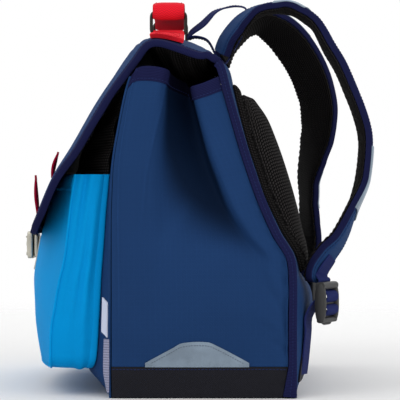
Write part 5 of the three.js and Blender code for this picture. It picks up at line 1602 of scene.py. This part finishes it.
class SatchelHandle(bpy.types.Operator):
    """Makes the top handle: its anchors sewn on the flap, two rings and the arched grip."""

    bl_idname = "satchel.handle"
    bl_label = "Handle"

    def execute(self, context):
        ring_x = HANDLE_SPAN / 2
        seat = flap_surface(np.array(ring_x), np.array(HANDLE_PLACE))
        seat[1] -= HANDLE_FORWARD
        low_bar = seat[2] + ANCHOR_LAYER + RING_WIRE / 2
        high_bar = low_bar + RING_HEIGHT - RING_WIRE
        seams = self.grip(ring_x, seat[1], high_bar)
        for name, sign in (("right", 1), ("left", -1)):
            self.ring(name, sign * ring_x, seat[1], (low_bar + high_bar) / 2)
            seams += self.anchor(name, sign, ring_x, seat[1], low_bar)
        stitches("handle_stitches", seams, "red_thread", 2.8 * MM, 2.1 * MM, 0.32 * MM)
        return {"FINISHED"}

    def ring(self, name, x, y, z):
        """A wire bent to a rounded rectangle: a circle carried round a superellipse across the webbing."""
        angle = np.linspace(0, 2 * np.pi, 97)[:-1]
        half_y = (HANDLE_WEBBING + RING_WIRE) / 2
        half_z = (RING_HEIGHT - RING_WIRE) / 2
        bend = 0.32
        path = np.stack([
            0 * angle + x,
            y + half_y * squared(np.cos(angle), bend),
            z + half_z * squared(np.sin(angle), bend),
        ], 1)
        whole = np.concatenate([path, path[:1]])
        length = distances(whole)
        path = at_distance(np.linspace(0, length[-1], 97)[:-1], length, whole)
        along = heading(path, True)
        out = facing(path, 1, 0, 0)
        wide = np.cross(along, out)
        wire = rounded(RING_WIRE * 0.85, RING_WIRE * 0.85, 16, 1.0)[None]
        ring = carry(path, wide, out, wire)
        piece(f"handle_wire_{name}", [(ring, True)], "dark_nickel", [f"handle_ring_{name}"])

    def grip(self, ring_x, y, z):
        """One closed band of webbing through both rings, arched as a parabola, with rounded edges."""
        radius = RING_WIRE / math.sqrt(2) + 1.4 * MM + HANDLE_LAYER / 2
        x = np.linspace(ring_x, -ring_x, 70)
        rise = HANDLE_ARCH * (1 - (x / ring_x) ** 2)
        turn = np.linspace(0.5 * np.pi, 1.5 * np.pi, 22)[1:-1]
        top = np.stack([x, 0 * x + y, z + rise + radius], 1)
        left = np.stack([-ring_x + radius * np.cos(turn), 0 * turn + y, z + radius * np.sin(turn)], 1)
        low = np.stack([x[::-1], 0 * x + y, (z + rise - radius)[::-1]], 1)
        right = np.stack([ring_x - radius * np.cos(turn), 0 * turn + y, z - radius * np.sin(turn)], 1)
        path = np.concatenate([top, left, low, right])
        along = heading(path, True)
        wide = facing(path, 0, 1, 0)
        out = np.cross(wide, along)
        width = HANDLE_WEBBING + 1.2 * MM
        profile = rounded(width, HANDLE_LAYER, 32, 0.32)[None]
        x = profile[..., 0]
        cupped = profile + np.stack([0 * x, -1.1 * MM * (2 * x / width) ** 2], -1)
        piece("handle_webbing", [(carry(path, wide, out, cupped), True)], "red_webbing", ["handle_grip"])
        seams = []
        for edge in (-0.5, 0.5):
            line = top + np.array([0, edge * (width - 6 * MM), 0])
            up = facing(line, 0, 0, 1)
            seams.append((line + up * (HANDLE_LAYER / 2 - 0.5 * MM), up))
        return seams

    def anchor(self, name, sign, ring_x, y, bar_z):
        """Webbing flat on the flap, folded up round the ring's lower bar and back over itself."""
        half = HANDLE_WEBBING / 2 - GAP
        u = np.linspace(1, -1, 21)
        share = np.linspace(0.06, 0.29, 200)

        def row(x, lift):
            """A row across the flap at x, found where the flap's top lies below each place of the webbing."""
            line = flap_surface(np.full_like(share, x), share)
            at = np.interp(-(y - u * half), -line[:, 1], share)
            return on_flap(np.full_like(at, x), at, lift)[0]

        low = 1.5 * MM + ANCHOR_LAYER / 2
        high = low + ANCHOR_LAYER
        first = [row(x, low) for x in np.linspace(ring_x + ANCHOR_LENGTH, ring_x + 11 * MM, 26)]
        radius = RING_WIRE / 2 + 0.4 * MM + ANCHOR_LAYER / 2
        turn = np.linspace(-0.42 * np.pi, -1.62 * np.pi, 22)
        x = ring_x + radius * np.cos(turn)
        z = bar_z + radius * np.sin(turn)
        loop = np.stack(np.broadcast_arrays(x[:, None], y - u * half, z[:, None]), -1)
        last = [row(x, high) for x in np.linspace(ring_x + 13 * MM, ring_x + ANCHOR_LENGTH, 26)]
        coarse = np.concatenate([first, loop, last])
        sheet = through(coarse, broadcast_share(150, 21))
        ring = thicken(sheet, -ANCHOR_LAYER / 2, ANCHOR_LAYER / 2)
        piece(f"handle_fold_{name}", [sided(ring, sign)], "red_webbing", [f"handle_anchor_{name}"])
        seams = []
        box_x = np.linspace(ring_x + 16 * MM, ring_x + ANCHOR_LENGTH - 4 * MM, 40)
        top = np.stack([row(x, high + ANCHOR_LAYER / 2 + 0.15 * MM) for x in box_x])
        up = facing(top[:, 0], 0, 0, 1)
        for column in (3, 17):
            seams.append(seam_on(sign, top[:, column], up))
        diagonal = np.linspace(3, 17, len(top))
        rows = np.arange(len(top))
        for column in (diagonal, diagonal[::-1]):
            i = column.astype(int)
            w = (column - i)[:, None]
            line = top[rows, i] * (1 - w) + top[rows, np.minimum(i + 1, 20)] * w
            seams.append(seam_on(sign, line, up))
        for end in (0, -1):
            seams.append(seam_on(sign, top[end, 3:18], up[:15]))
        return seams


class SatchelHangLoop(bpy.types.Operator):
    """Makes the hang loop of ribbed tape at the back of the flap."""

    bl_idname = "satchel.hang_loop"
    bl_label = "Hang loop"

    def execute(self, context):
        seats = on_flap(np.full(2, HANG_PLACE), np.array(HANG_SEATS), 3 * GAP + HANG_THICK / 2)[0]
        forward, up = HANG_LOOP["forward"], HANG_LOOP["up"]
        free = np.stack([np.full_like(up, HANG_PLACE), -forward * DEPTH, up * STRAP_RISE], 1)
        path = through(np.concatenate([seats, free]), np.linspace(0, 1, 161)[:-1], True)
        along = heading(path, True)
        place = np.linspace(0, 1, len(path))
        twist = (0.36 * bell(place - 0.42, 0.12) + 0.1 * bell(place - 0.72, 0.1))[:, None]
        level = facing(path, 1, 0, 0)
        wide = level * np.cos(twist) + np.cross(along, level) * np.sin(twist)
        out = np.cross(wide, along)
        profile = rounded(HANG_WIDTH, HANG_THICK, 24, 0.3)[None]
        ring = carry(path, wide, out, profile)
        piece("hang_tape", [(ring, True)], "navy_webbing", ["hang_loop"])
        seams = []
        for edge in (-0.5, 0.5):
            line = path[:150] + wide[:150] * edge * (HANG_WIDTH - 3 * MM)
            seams.append((line + out[:150] * (HANG_THICK / 2 + 0.1 * MM), out[:150]))
        stitches("hang_stitches", seams, "navy_thread", 3 * MM, 2.1 * MM, 0.28 * MM)
        return {"FINISHED"}


class SatchelBackPadding(bpy.types.Operator):
    """Makes the mesh padding of the back: a thin base and two thick pads, swollen by cloth simulation."""

    bl_idname = "satchel.back_padding"
    bl_label = "Back padding"

    def execute(self, context):
        low = CLOTH / 2 + 2 * GAP
        half = BASE_PAD_WIDTH / 2
        x = eased(100, half, -half)[None]
        z = eased(110, BACK_PAD_FOOT, BASE_PAD_TOP)[:, None]
        base = over(back_surface, x, z)
        edge = np.minimum(1 - np.abs(x / half), 0.9) * half
        lift = np.minimum(edge, np.minimum(z - BACK_PAD_FOOT, BASE_PAD_TOP - z))
        climb = np.clip(lift / (9 * MM), 0, 1)
        dome = np.sqrt(climb * (2 - climb))
        quilt = 0.5 * MM * np.sin(x / (5 * MM)) * np.sin(z / (5 * MM))
        height = low + 0.6 * MM + (BASE_PAD_THICK - 1 * MM) * dome + quilt * dome
        pad = piece("back_base_mesh", [thicken(base, low, height)], "black_mesh", ["back_base_pad"])
        seams = []
        for name, sign in (("right", 1), ("left", -1)):
            ring, outline = self.pad(context, low + BASE_PAD_THICK + 0.1 * MM)
            ring = sided(ring, sign)
            pad = piece(f"back_mesh_{name}", [ring], "black_mesh", [f"back_pad_{name}"], finish="pad_mesh")
            seams.append(seam_on(sign, outline, facing(outline, 0, 1, 0)))
        stitches("pad_stitches", seams, "black_thread")
        return {"FINISHED"}

    def pad(self, context, low):
        """A pad's cover: its thickness times one minus a power of the place across, swollen by simulation,
        then gathered along its edge by small ribs that run square to it and die away."""
        sizes = context.scene.satchel_sizes
        inner = BACK_PAD_GAP / 2
        x = eased(31, inner + BACK_PAD_WIDTH, inner)[None]
        z = eased(41, BACK_PAD_FOOT, BACK_PAD_TOP)[:, None]
        base = over(back_surface, x, z)
        u = (x - inner) / BACK_PAD_WIDTH
        v = (z - BACK_PAD_FOOT) / (BACK_PAD_TOP - BACK_PAD_FOOT)
        thick = BACK_PAD_THICK * read(BACK_PAD, "thick", v)
        dome = fall(2 * u - 1, 3.2, 0.7)
        swell = sizes.swell
        rise = np.maximum(0, thick - low - swell * 0.55) * dome + 1.5 * MM
        rise = rise * smooth(-0.02, 0.05, v) * (1 - smooth(0.97, 1.03, v))
        normal = normals_of(base)
        cover = base + normal * (low + rise)[..., None]
        pinned = np.zeros(cover.shape[:2], bool)
        pinned[[0, -1]] = True
        pinned[:, [0, -1]] = True
        cover = simulate(cover, pinned, sizes.pressure, swell)
        fine = finer(cover, 170, 120)
        floor = finer(base + normal * low, 170, 120)
        out = normals_of(fine)
        edge_u = np.linspace(0, 1, 120)[None]
        edge_v = np.linspace(0, 1, 170)[:, None]
        from_side = np.minimum(edge_u, 1 - edge_u) * BACK_PAD_WIDTH
        from_end = np.minimum(edge_v, 1 - edge_v) * (BACK_PAD_TOP - BACK_PAD_FOOT)
        near_side = bell(from_side, 14 * MM)
        near_end = bell(from_end, 20 * MM)
        ribs_side = np.sin(edge_v * 150 + 1.5 * np.sin(edge_v * 23)) * near_side
        ribs_end = np.sin(edge_u * 118 + 1.2 * np.sin(edge_u * 19)) * near_end
        gather = 0.85 * MM * (ribs_end + ribs_side * (1 - near_end))
        held = smooth(0, 0.03, np.minimum(edge_u, 1 - edge_u))
        held = held * smooth(0, 0.02, np.minimum(edge_v, 1 - edge_v))
        fine = fine + out * (gather * held)[..., None]
        ring = np.concatenate([fine, floor[:, ::-1]], 1)
        loop = np.concatenate([floor[1, 1:-1], floor[1:-1, -2], floor[-2, -2:0:-1], floor[-2:0:-1, 1]])
        return ring, loop + np.array([0, 1.6 * MM, 0])


class SatchelStraps(bpy.types.Operator):
    """Makes the padded straps with their mesh lining and silver patches, the webbing and the buckles."""

    bl_idname = "satchel.straps"
    bl_label = "Straps"

    def execute(self, context):
        seams = []
        for name, side, rows in STRAPS:
            seams += self.strap(name, side, rows)
            self.patches(name, side, rows)
            self.lower_end(name, side, rows)
        stitches("strap_stitches", seams, "navy_thread")
        return {"FINISHED"}

    def strap(self, name, side, rows):
        """Two padded bands on one route: their edges are drawn in by puckers, their ends rounded."""
        s = eased(320)
        place, _, wide, out = strap_frames(rows, side, s)
        width = STRAP_WIDTH * read(STRAP_TAPER, "wide", s)
        width = width * np.sqrt(np.clip(1 - ((s - 0.985) / 0.02).clip(0) ** 2, 0.2, 1))
        run = s * 0.55
        pucker = 0.35 * MM * np.sin(run / (1.25 * MM) + 2 * np.sin(run / (17 * MM)))
        angle = circle_angles(44)
        x = -squared(np.cos(angle), 0.32)
        y = squared(np.sin(angle), 0.62)
        near_edge = np.abs(x) ** 5
        quilt = 0.5 * MM * np.sin(run / (6.2 * MM) + 1.3)[:, None] * (1 - near_edge)
        middle = STRAP_LOW + STRAP_OUTER / 2
        half = STRAP_OUTER / 2 * (1 - 0.25 * near_edge)
        cover_y = middle + half * y + (pucker[:, None] * near_edge + quilt * 0.4) * np.abs(y)
        profile = np.stack([x * width[:, None] / 2, cover_y + 0 * width[:, None]], -1)
        groove = 0.9 * MM * (bell(np.abs(x) - 0.8, 0.07)) * (y > 0)
        profile[..., 1] -= groove
        ring = carry(place, wide, out, profile)
        pad = piece(f"strap_cover_{name}", [ring], "navy_cloth", [f"strap_pad_{name}"])
        middle = STRAP_LOW - STRAP_MESH / 2 + 0.2 * MM
        lining_y = middle + STRAP_MESH / 2 * y * (1 - 0.3 * near_edge) - pucker[:, None] * 1.6 * near_edge
        profile = np.stack([x * (width[:, None] / 2 - 0.6 * MM), lining_y + 0 * width[:, None]], -1)
        ring = carry(place, wide, out, profile)
        lining = piece(f"strap_lining_{name}", [ring], "black_mesh", [f"strap_mesh_{name}"])
        edge = carry(place, wide, out, rounded(*STRAP_ROLL, 16, 0.7)[None])
        rolls = []
        for sign in (-1, 1):
            shift = wide * (sign * (width / 2 - 0.6 * MM))[:, None] + out * (STRAP_LOW + 2.4 * MM)
            rolls.append(edge + shift[:, None])
        piece(f"strap_edge_{name}", rolls, "indigo_tape")
        top = out * (STRAP_LOW + STRAP_OUTER - 0.8 * MM)
        return [(place + top + wide * (sign * width * 0.4)[:, None], out) for sign in (-1, 1)]

    def patches(self, name, side, rows):
        """Silver patches on the strap's outer face."""
        for part, (start, end) in STRAP_PATCHES.items():
            s = np.linspace(start, end, 60)
            place, _, wide, out = strap_frames(rows, side, s)
            width = STRAP_WIDTH * read(STRAP_TAPER, "wide", s)[:, None] / 2
            angle = np.linspace(0.94 * np.pi, 0.06 * np.pi, 40)
            x = squared(np.cos(angle), 0.32)
            y = np.abs(np.sin(angle)) ** 0.62
            half = STRAP_OUTER / 2 * (1 - 0.25 * np.abs(x) ** 5)
            middle = STRAP_LOW + STRAP_OUTER / 2 + 0 * width
            outer, inner = (
                np.stack([x * (width + lift), middle + (half + lift) * y], -1) for lift in (1.1 * MM, 0.2 * MM)
            )
            profile = np.concatenate([outer, inner[:, ::-1]], 1)
            ring = carry(place, wide, out, profile)
            piece(f"strap_silver_{part}_{name}", [ring], "silver_patch", [f"strap_reflector_{part}_{name}"])

    def lower_end(self, name, side, rows):
        """The webbing from the strap, the ladder buckle, and the webbing from the bag."""
        place, _, _, _ = strap_frames(rows, side, np.array([1.0]))
        sine, cosine = math.sin(BUCKLE_TURN), math.cos(BUCKLE_TURN)
        across = np.array([cosine, -side * sine, 0])
        outward = np.array([side * sine, cosine, 0])
        up = np.array([0, 0, 1.0])
        middle = place[0] + outward * BUCKLE_OUT - up * BUCKLE_HEIGHT / 2
        self.buckle(name, middle, across, outward, up)
        bar = BUCKLE_HEIGHT / 2 - BUCKLE_BAR / 2
        bow = BUCKLE_THICK / 2 + 2.4 * MM

        def beside(places):
            """Points by the buckle: (height as a share of the outer bars', distance outwards) for each."""
            return np.stack([middle + up * height * bar + outward * far for height, far in places])

        on_strap, _, _, out = strap_frames(rows, side, np.array([0.925, 0.945, 0.965, 0.98]))
        upper = on_strap + out * (STRAP_LOW + STRAP_OUTER + 0.2 * MM + WEBBING_THICK / 2)
        over = [(1.3, -bow * 0.6), (0.95, -bow), (0.72, -bow * 0.3), (0.62, bow * 0.8), (0.4, bow * 1.25),
                (0.16, bow), (0.05, 0.0), (0.2, -bow)]
        path = np.concatenate([upper, beside(over)])
        self.band(f"strap_tape_{name}", path, across, [f"strap_webbing_{name}"])
        heights = np.array(ANCHOR_HEIGHTS)
        on_back = back_surface(np.full_like(heights, side * ANCHOR_OUT), heights)
        on_back = on_back + np.array([0, CLOTH / 2 + PATCH + 1.4 * MM, 0])
        under = [(0.1, -bow * 1.5), (-0.05, -bow * 0.8), (-0.12, 0.0), (-0.2, bow), (-0.42, bow * 1.25),
                 (-0.62, bow * 0.8), (-0.72, -bow * 0.3), (-0.5, -bow)]
        path = np.concatenate([on_back, beside(under)])
        outer, inner = back_surface(ANCHOR_OUT - np.array([0, MM]), np.full(2, heights[-1]))[:, 1]
        slope = math.atan2(inner - outer, MM)
        turns = np.interp(np.arange(len(path)), (len(heights) - 2, len(heights) + 1), (slope, BUCKLE_TURN))
        across = np.stack([np.cos(turns), -side * np.sin(turns), 0 * turns], 1)
        self.band(f"anchor_tape_{name}", path, across, [f"anchor_webbing_{name}"])

    def band(self, name, points, across, replaces):
        """Webbing on a smooth curve through its points, with its width along the buckle's bars."""
        t = np.linspace(0, 1, 190)
        path = through(points, t)
        along = heading(path)
        across = through(np.broadcast_to(across, points.shape), t)
        wide = unit(across - along * np.sum(along * across, 1, keepdims=True))
        out = np.cross(wide, along)
        profile = rounded(WEBBING, WEBBING_THICK, 28, 0.3)[None]
        piece(name, [carry(path, wide, out, profile)], "navy_webbing", replaces)

    def buckle(self, name, middle, across, outward, up):
        """Two rounded cheeks joined by three bars, with a lifting tongue at the foot."""
        parts = []
        angle = circle_angles(36)
        outline_up = squared(np.sin(angle), 0.75) * BUCKLE_HEIGHT / 2
        outline_out = -squared(np.cos(angle), 0.8) * CHEEK_DEPTH
        for sign in (-1, 1):
            t = np.linspace(-1, 1, 9)
            scale = (1 - 0.16 * np.abs(t) ** 4)[:, None]
            base = middle + across * (sign * (BUCKLE_WIDTH / 2 - CHEEK_HALF))
            ring = base + across * (t * CHEEK_HALF)[:, None, None] + up * (outline_up * scale)[..., None]
            parts.append(ring + outward * (outline_out * scale)[..., None])
        bar = BUCKLE_HEIGHT / 2 - BUCKLE_BAR / 2
        u = np.linspace(-1, 1, 12)
        for height, size in ((-bar, 1.1), (0, 0.8), (bar, 1.5)):
            path = middle + across * (u * (BUCKLE_WIDTH / 2 - 1 * MM))[:, None] + up * height
            wide = np.broadcast_to(up, path.shape)
            out = np.broadcast_to(outward, path.shape)
            profile = rounded(BUCKLE_BAR * size, BUCKLE_THICK * size * 1.3, 20, 0.8)[None]
            parts.append(carry(path, wide, out, profile))
        t = np.linspace(0, 1, 24)
        path = middle - up * (bar * 0.8 + t * TONGUE_LENGTH)[:, None]
        path = path + outward * (2 * MM * (t**1.4 - 1))[:, None]
        wide = np.broadcast_to(across, path.shape)
        along = heading(path)
        out = np.cross(along, wide)
        width = (BUCKLE_WIDTH - 8 * MM) * np.sqrt(1 - 0.75 * t**3)
        thick = TONGUE_THICK * (1 - 0.35 * t)
        profile = rounded(1, 1, 24, 0.5)[None] * np.stack([width, thick], 1)[:, None]
        parts.append(carry(path, wide, out, profile)[:, ::-1])
        piece(f"ladder_buckle_{name}", parts, "grey_plastic", [f"buckle_{name}"])


class SatchelStage(bpy.types.Operator):
    """Makes the pale floor, the soft studio lights, the world and the photograph's camera."""

    bl_idname = "satchel.stage"
    bl_label = "Stage"

    def execute(self, context):
        radius = np.array([0.0, 0.5, 1.0, 1.6, 2.4, 3.4])
        angle = np.arange(64) * 2 * np.pi / 64
        grid = np.stack([
            radius[:, None] * np.cos(angle), radius[:, None] * np.sin(angle), 0 * radius[:, None] * angle
        ], -1)
        faces = ring_faces(len(radius), len(angle), False)[: (len(radius) - 1) * len(angle)]
        floor = mesh_object("floor", grid.reshape(-1, 3) - (0, 0, 0.2 * MM), faces)
        floor.data.materials.append(self.floor_finish())
        world = bpy.data.worlds.new("studio")
        world.use_nodes = True
        sky = world.node_tree.nodes["Background"].inputs
        sky["Color"].default_value = (1, 1, 1, 1)
        sky["Strength"].default_value = 1.0
        context.scene.world = world
        context.scene.view_settings.view_transform = "Standard"
        power = context.scene.satchel_sizes.light
        self.lamp("key", (1.6, -1.1, 1.5), 1.2, power)
        self.lamp("fill", (1.7, 1.3, 0.7), 1.4, power * FILL_SHARE)
        self.lamp("rear", (-1.5, 0.6, 1.4), 1.2, power * REAR_SHARE)
        camera = bpy.data.cameras.new("camera")
        camera.lens = CAMERA_LENS
        camera.sensor_width = 36
        camera.clip_start = 0.05
        shot = bpy.data.objects.new("camera", camera)
        shot.location = CAMERA_PLACE
        shot.rotation_euler = (math.pi / 2, 0, math.pi / 2)
        context.scene.collection.objects.link(shot)
        context.scene.camera = shot
        return {"FINISHED"}

    def floor_finish(self):
        """Pale matt floor that fades out far from the bag."""
        finish = Finish("floor", tint_of("floor"), 0.8)
        split = finish.tree.nodes.new("ShaderNodeVectorMath")
        split.operation = "LENGTH"
        finish.link(finish.coordinates.outputs["Object"], split.inputs[0])
        fade = finish.range(split.outputs["Value"], 0.45, 1.6, 1.0, 0.0)
        finish.link(fade, finish.shader.inputs["Alpha"])
        return finish.material

    def lamp(self, name, place, size, power):
        """A large square light aimed at the bag's middle."""
        data = bpy.data.lights.new(name, "AREA")
        data.energy = power
        data.size = size
        lamp = bpy.data.objects.new(name, data)
        lamp.location = place
        aim = Vector((0, 0, SIDE_HEIGHT / 2)) - Vector(place)
        lamp.rotation_euler = aim.to_track_quat("-Z", "Y").to_euler()
        bpy.context.scene.collection.objects.link(lamp)


class SatchelPanel(bpy.types.Panel):
    """Lists the satchel's settings and the buttons that make its pieces."""

    bl_idname = "VIEW3D_PT_satchel"
    bl_label = "School satchel"
    bl_space_type = "VIEW_3D"
    bl_region_type = "UI"
    bl_category = "Satchel"

    def draw(self, context):
        for group in (context.scene.satchel_sizes, context.scene.satchel_colours):
            for key in group.__annotations__:
                self.layout.prop(group, key)
        for operator in OPERATORS:
            self.layout.operator(operator.bl_idname)


OPERATORS = (
    SatchelSides,
    SatchelFrontAndBack,
    SatchelFlap,
    SatchelPocket,
    SatchelPatches,
    SatchelClasp,
    SatchelHandle,
    SatchelHangLoop,
    SatchelBackPadding,
    SatchelStraps,
    SatchelStage,
)
CLASSES = (SatchelColours, SatchelSizes, *OPERATORS, SatchelPanel)


def register():
    """Registers the classes and hangs the settings on the scene."""
    for cls in CLASSES:
        bpy.utils.register_class(cls)
    bpy.types.Scene.satchel_colours = PointerProperty(type=SatchelColours)
    bpy.types.Scene.satchel_sizes = PointerProperty(type=SatchelSizes)


def unregister():
    """Takes the settings and the classes away again."""
    del bpy.types.Scene.satchel_sizes
    del bpy.types.Scene.satchel_colours
    for cls in reversed(CLASSES):
        bpy.utils.unregister_class(cls)


def main():
    """Makes every piece and the stage."""
    register()
    for operator in OPERATORS:
        group, name = operator.bl_idname.split(".")
        getattr(getattr(bpy.ops, group), name)()


if __name__ == "__main__":
    main()
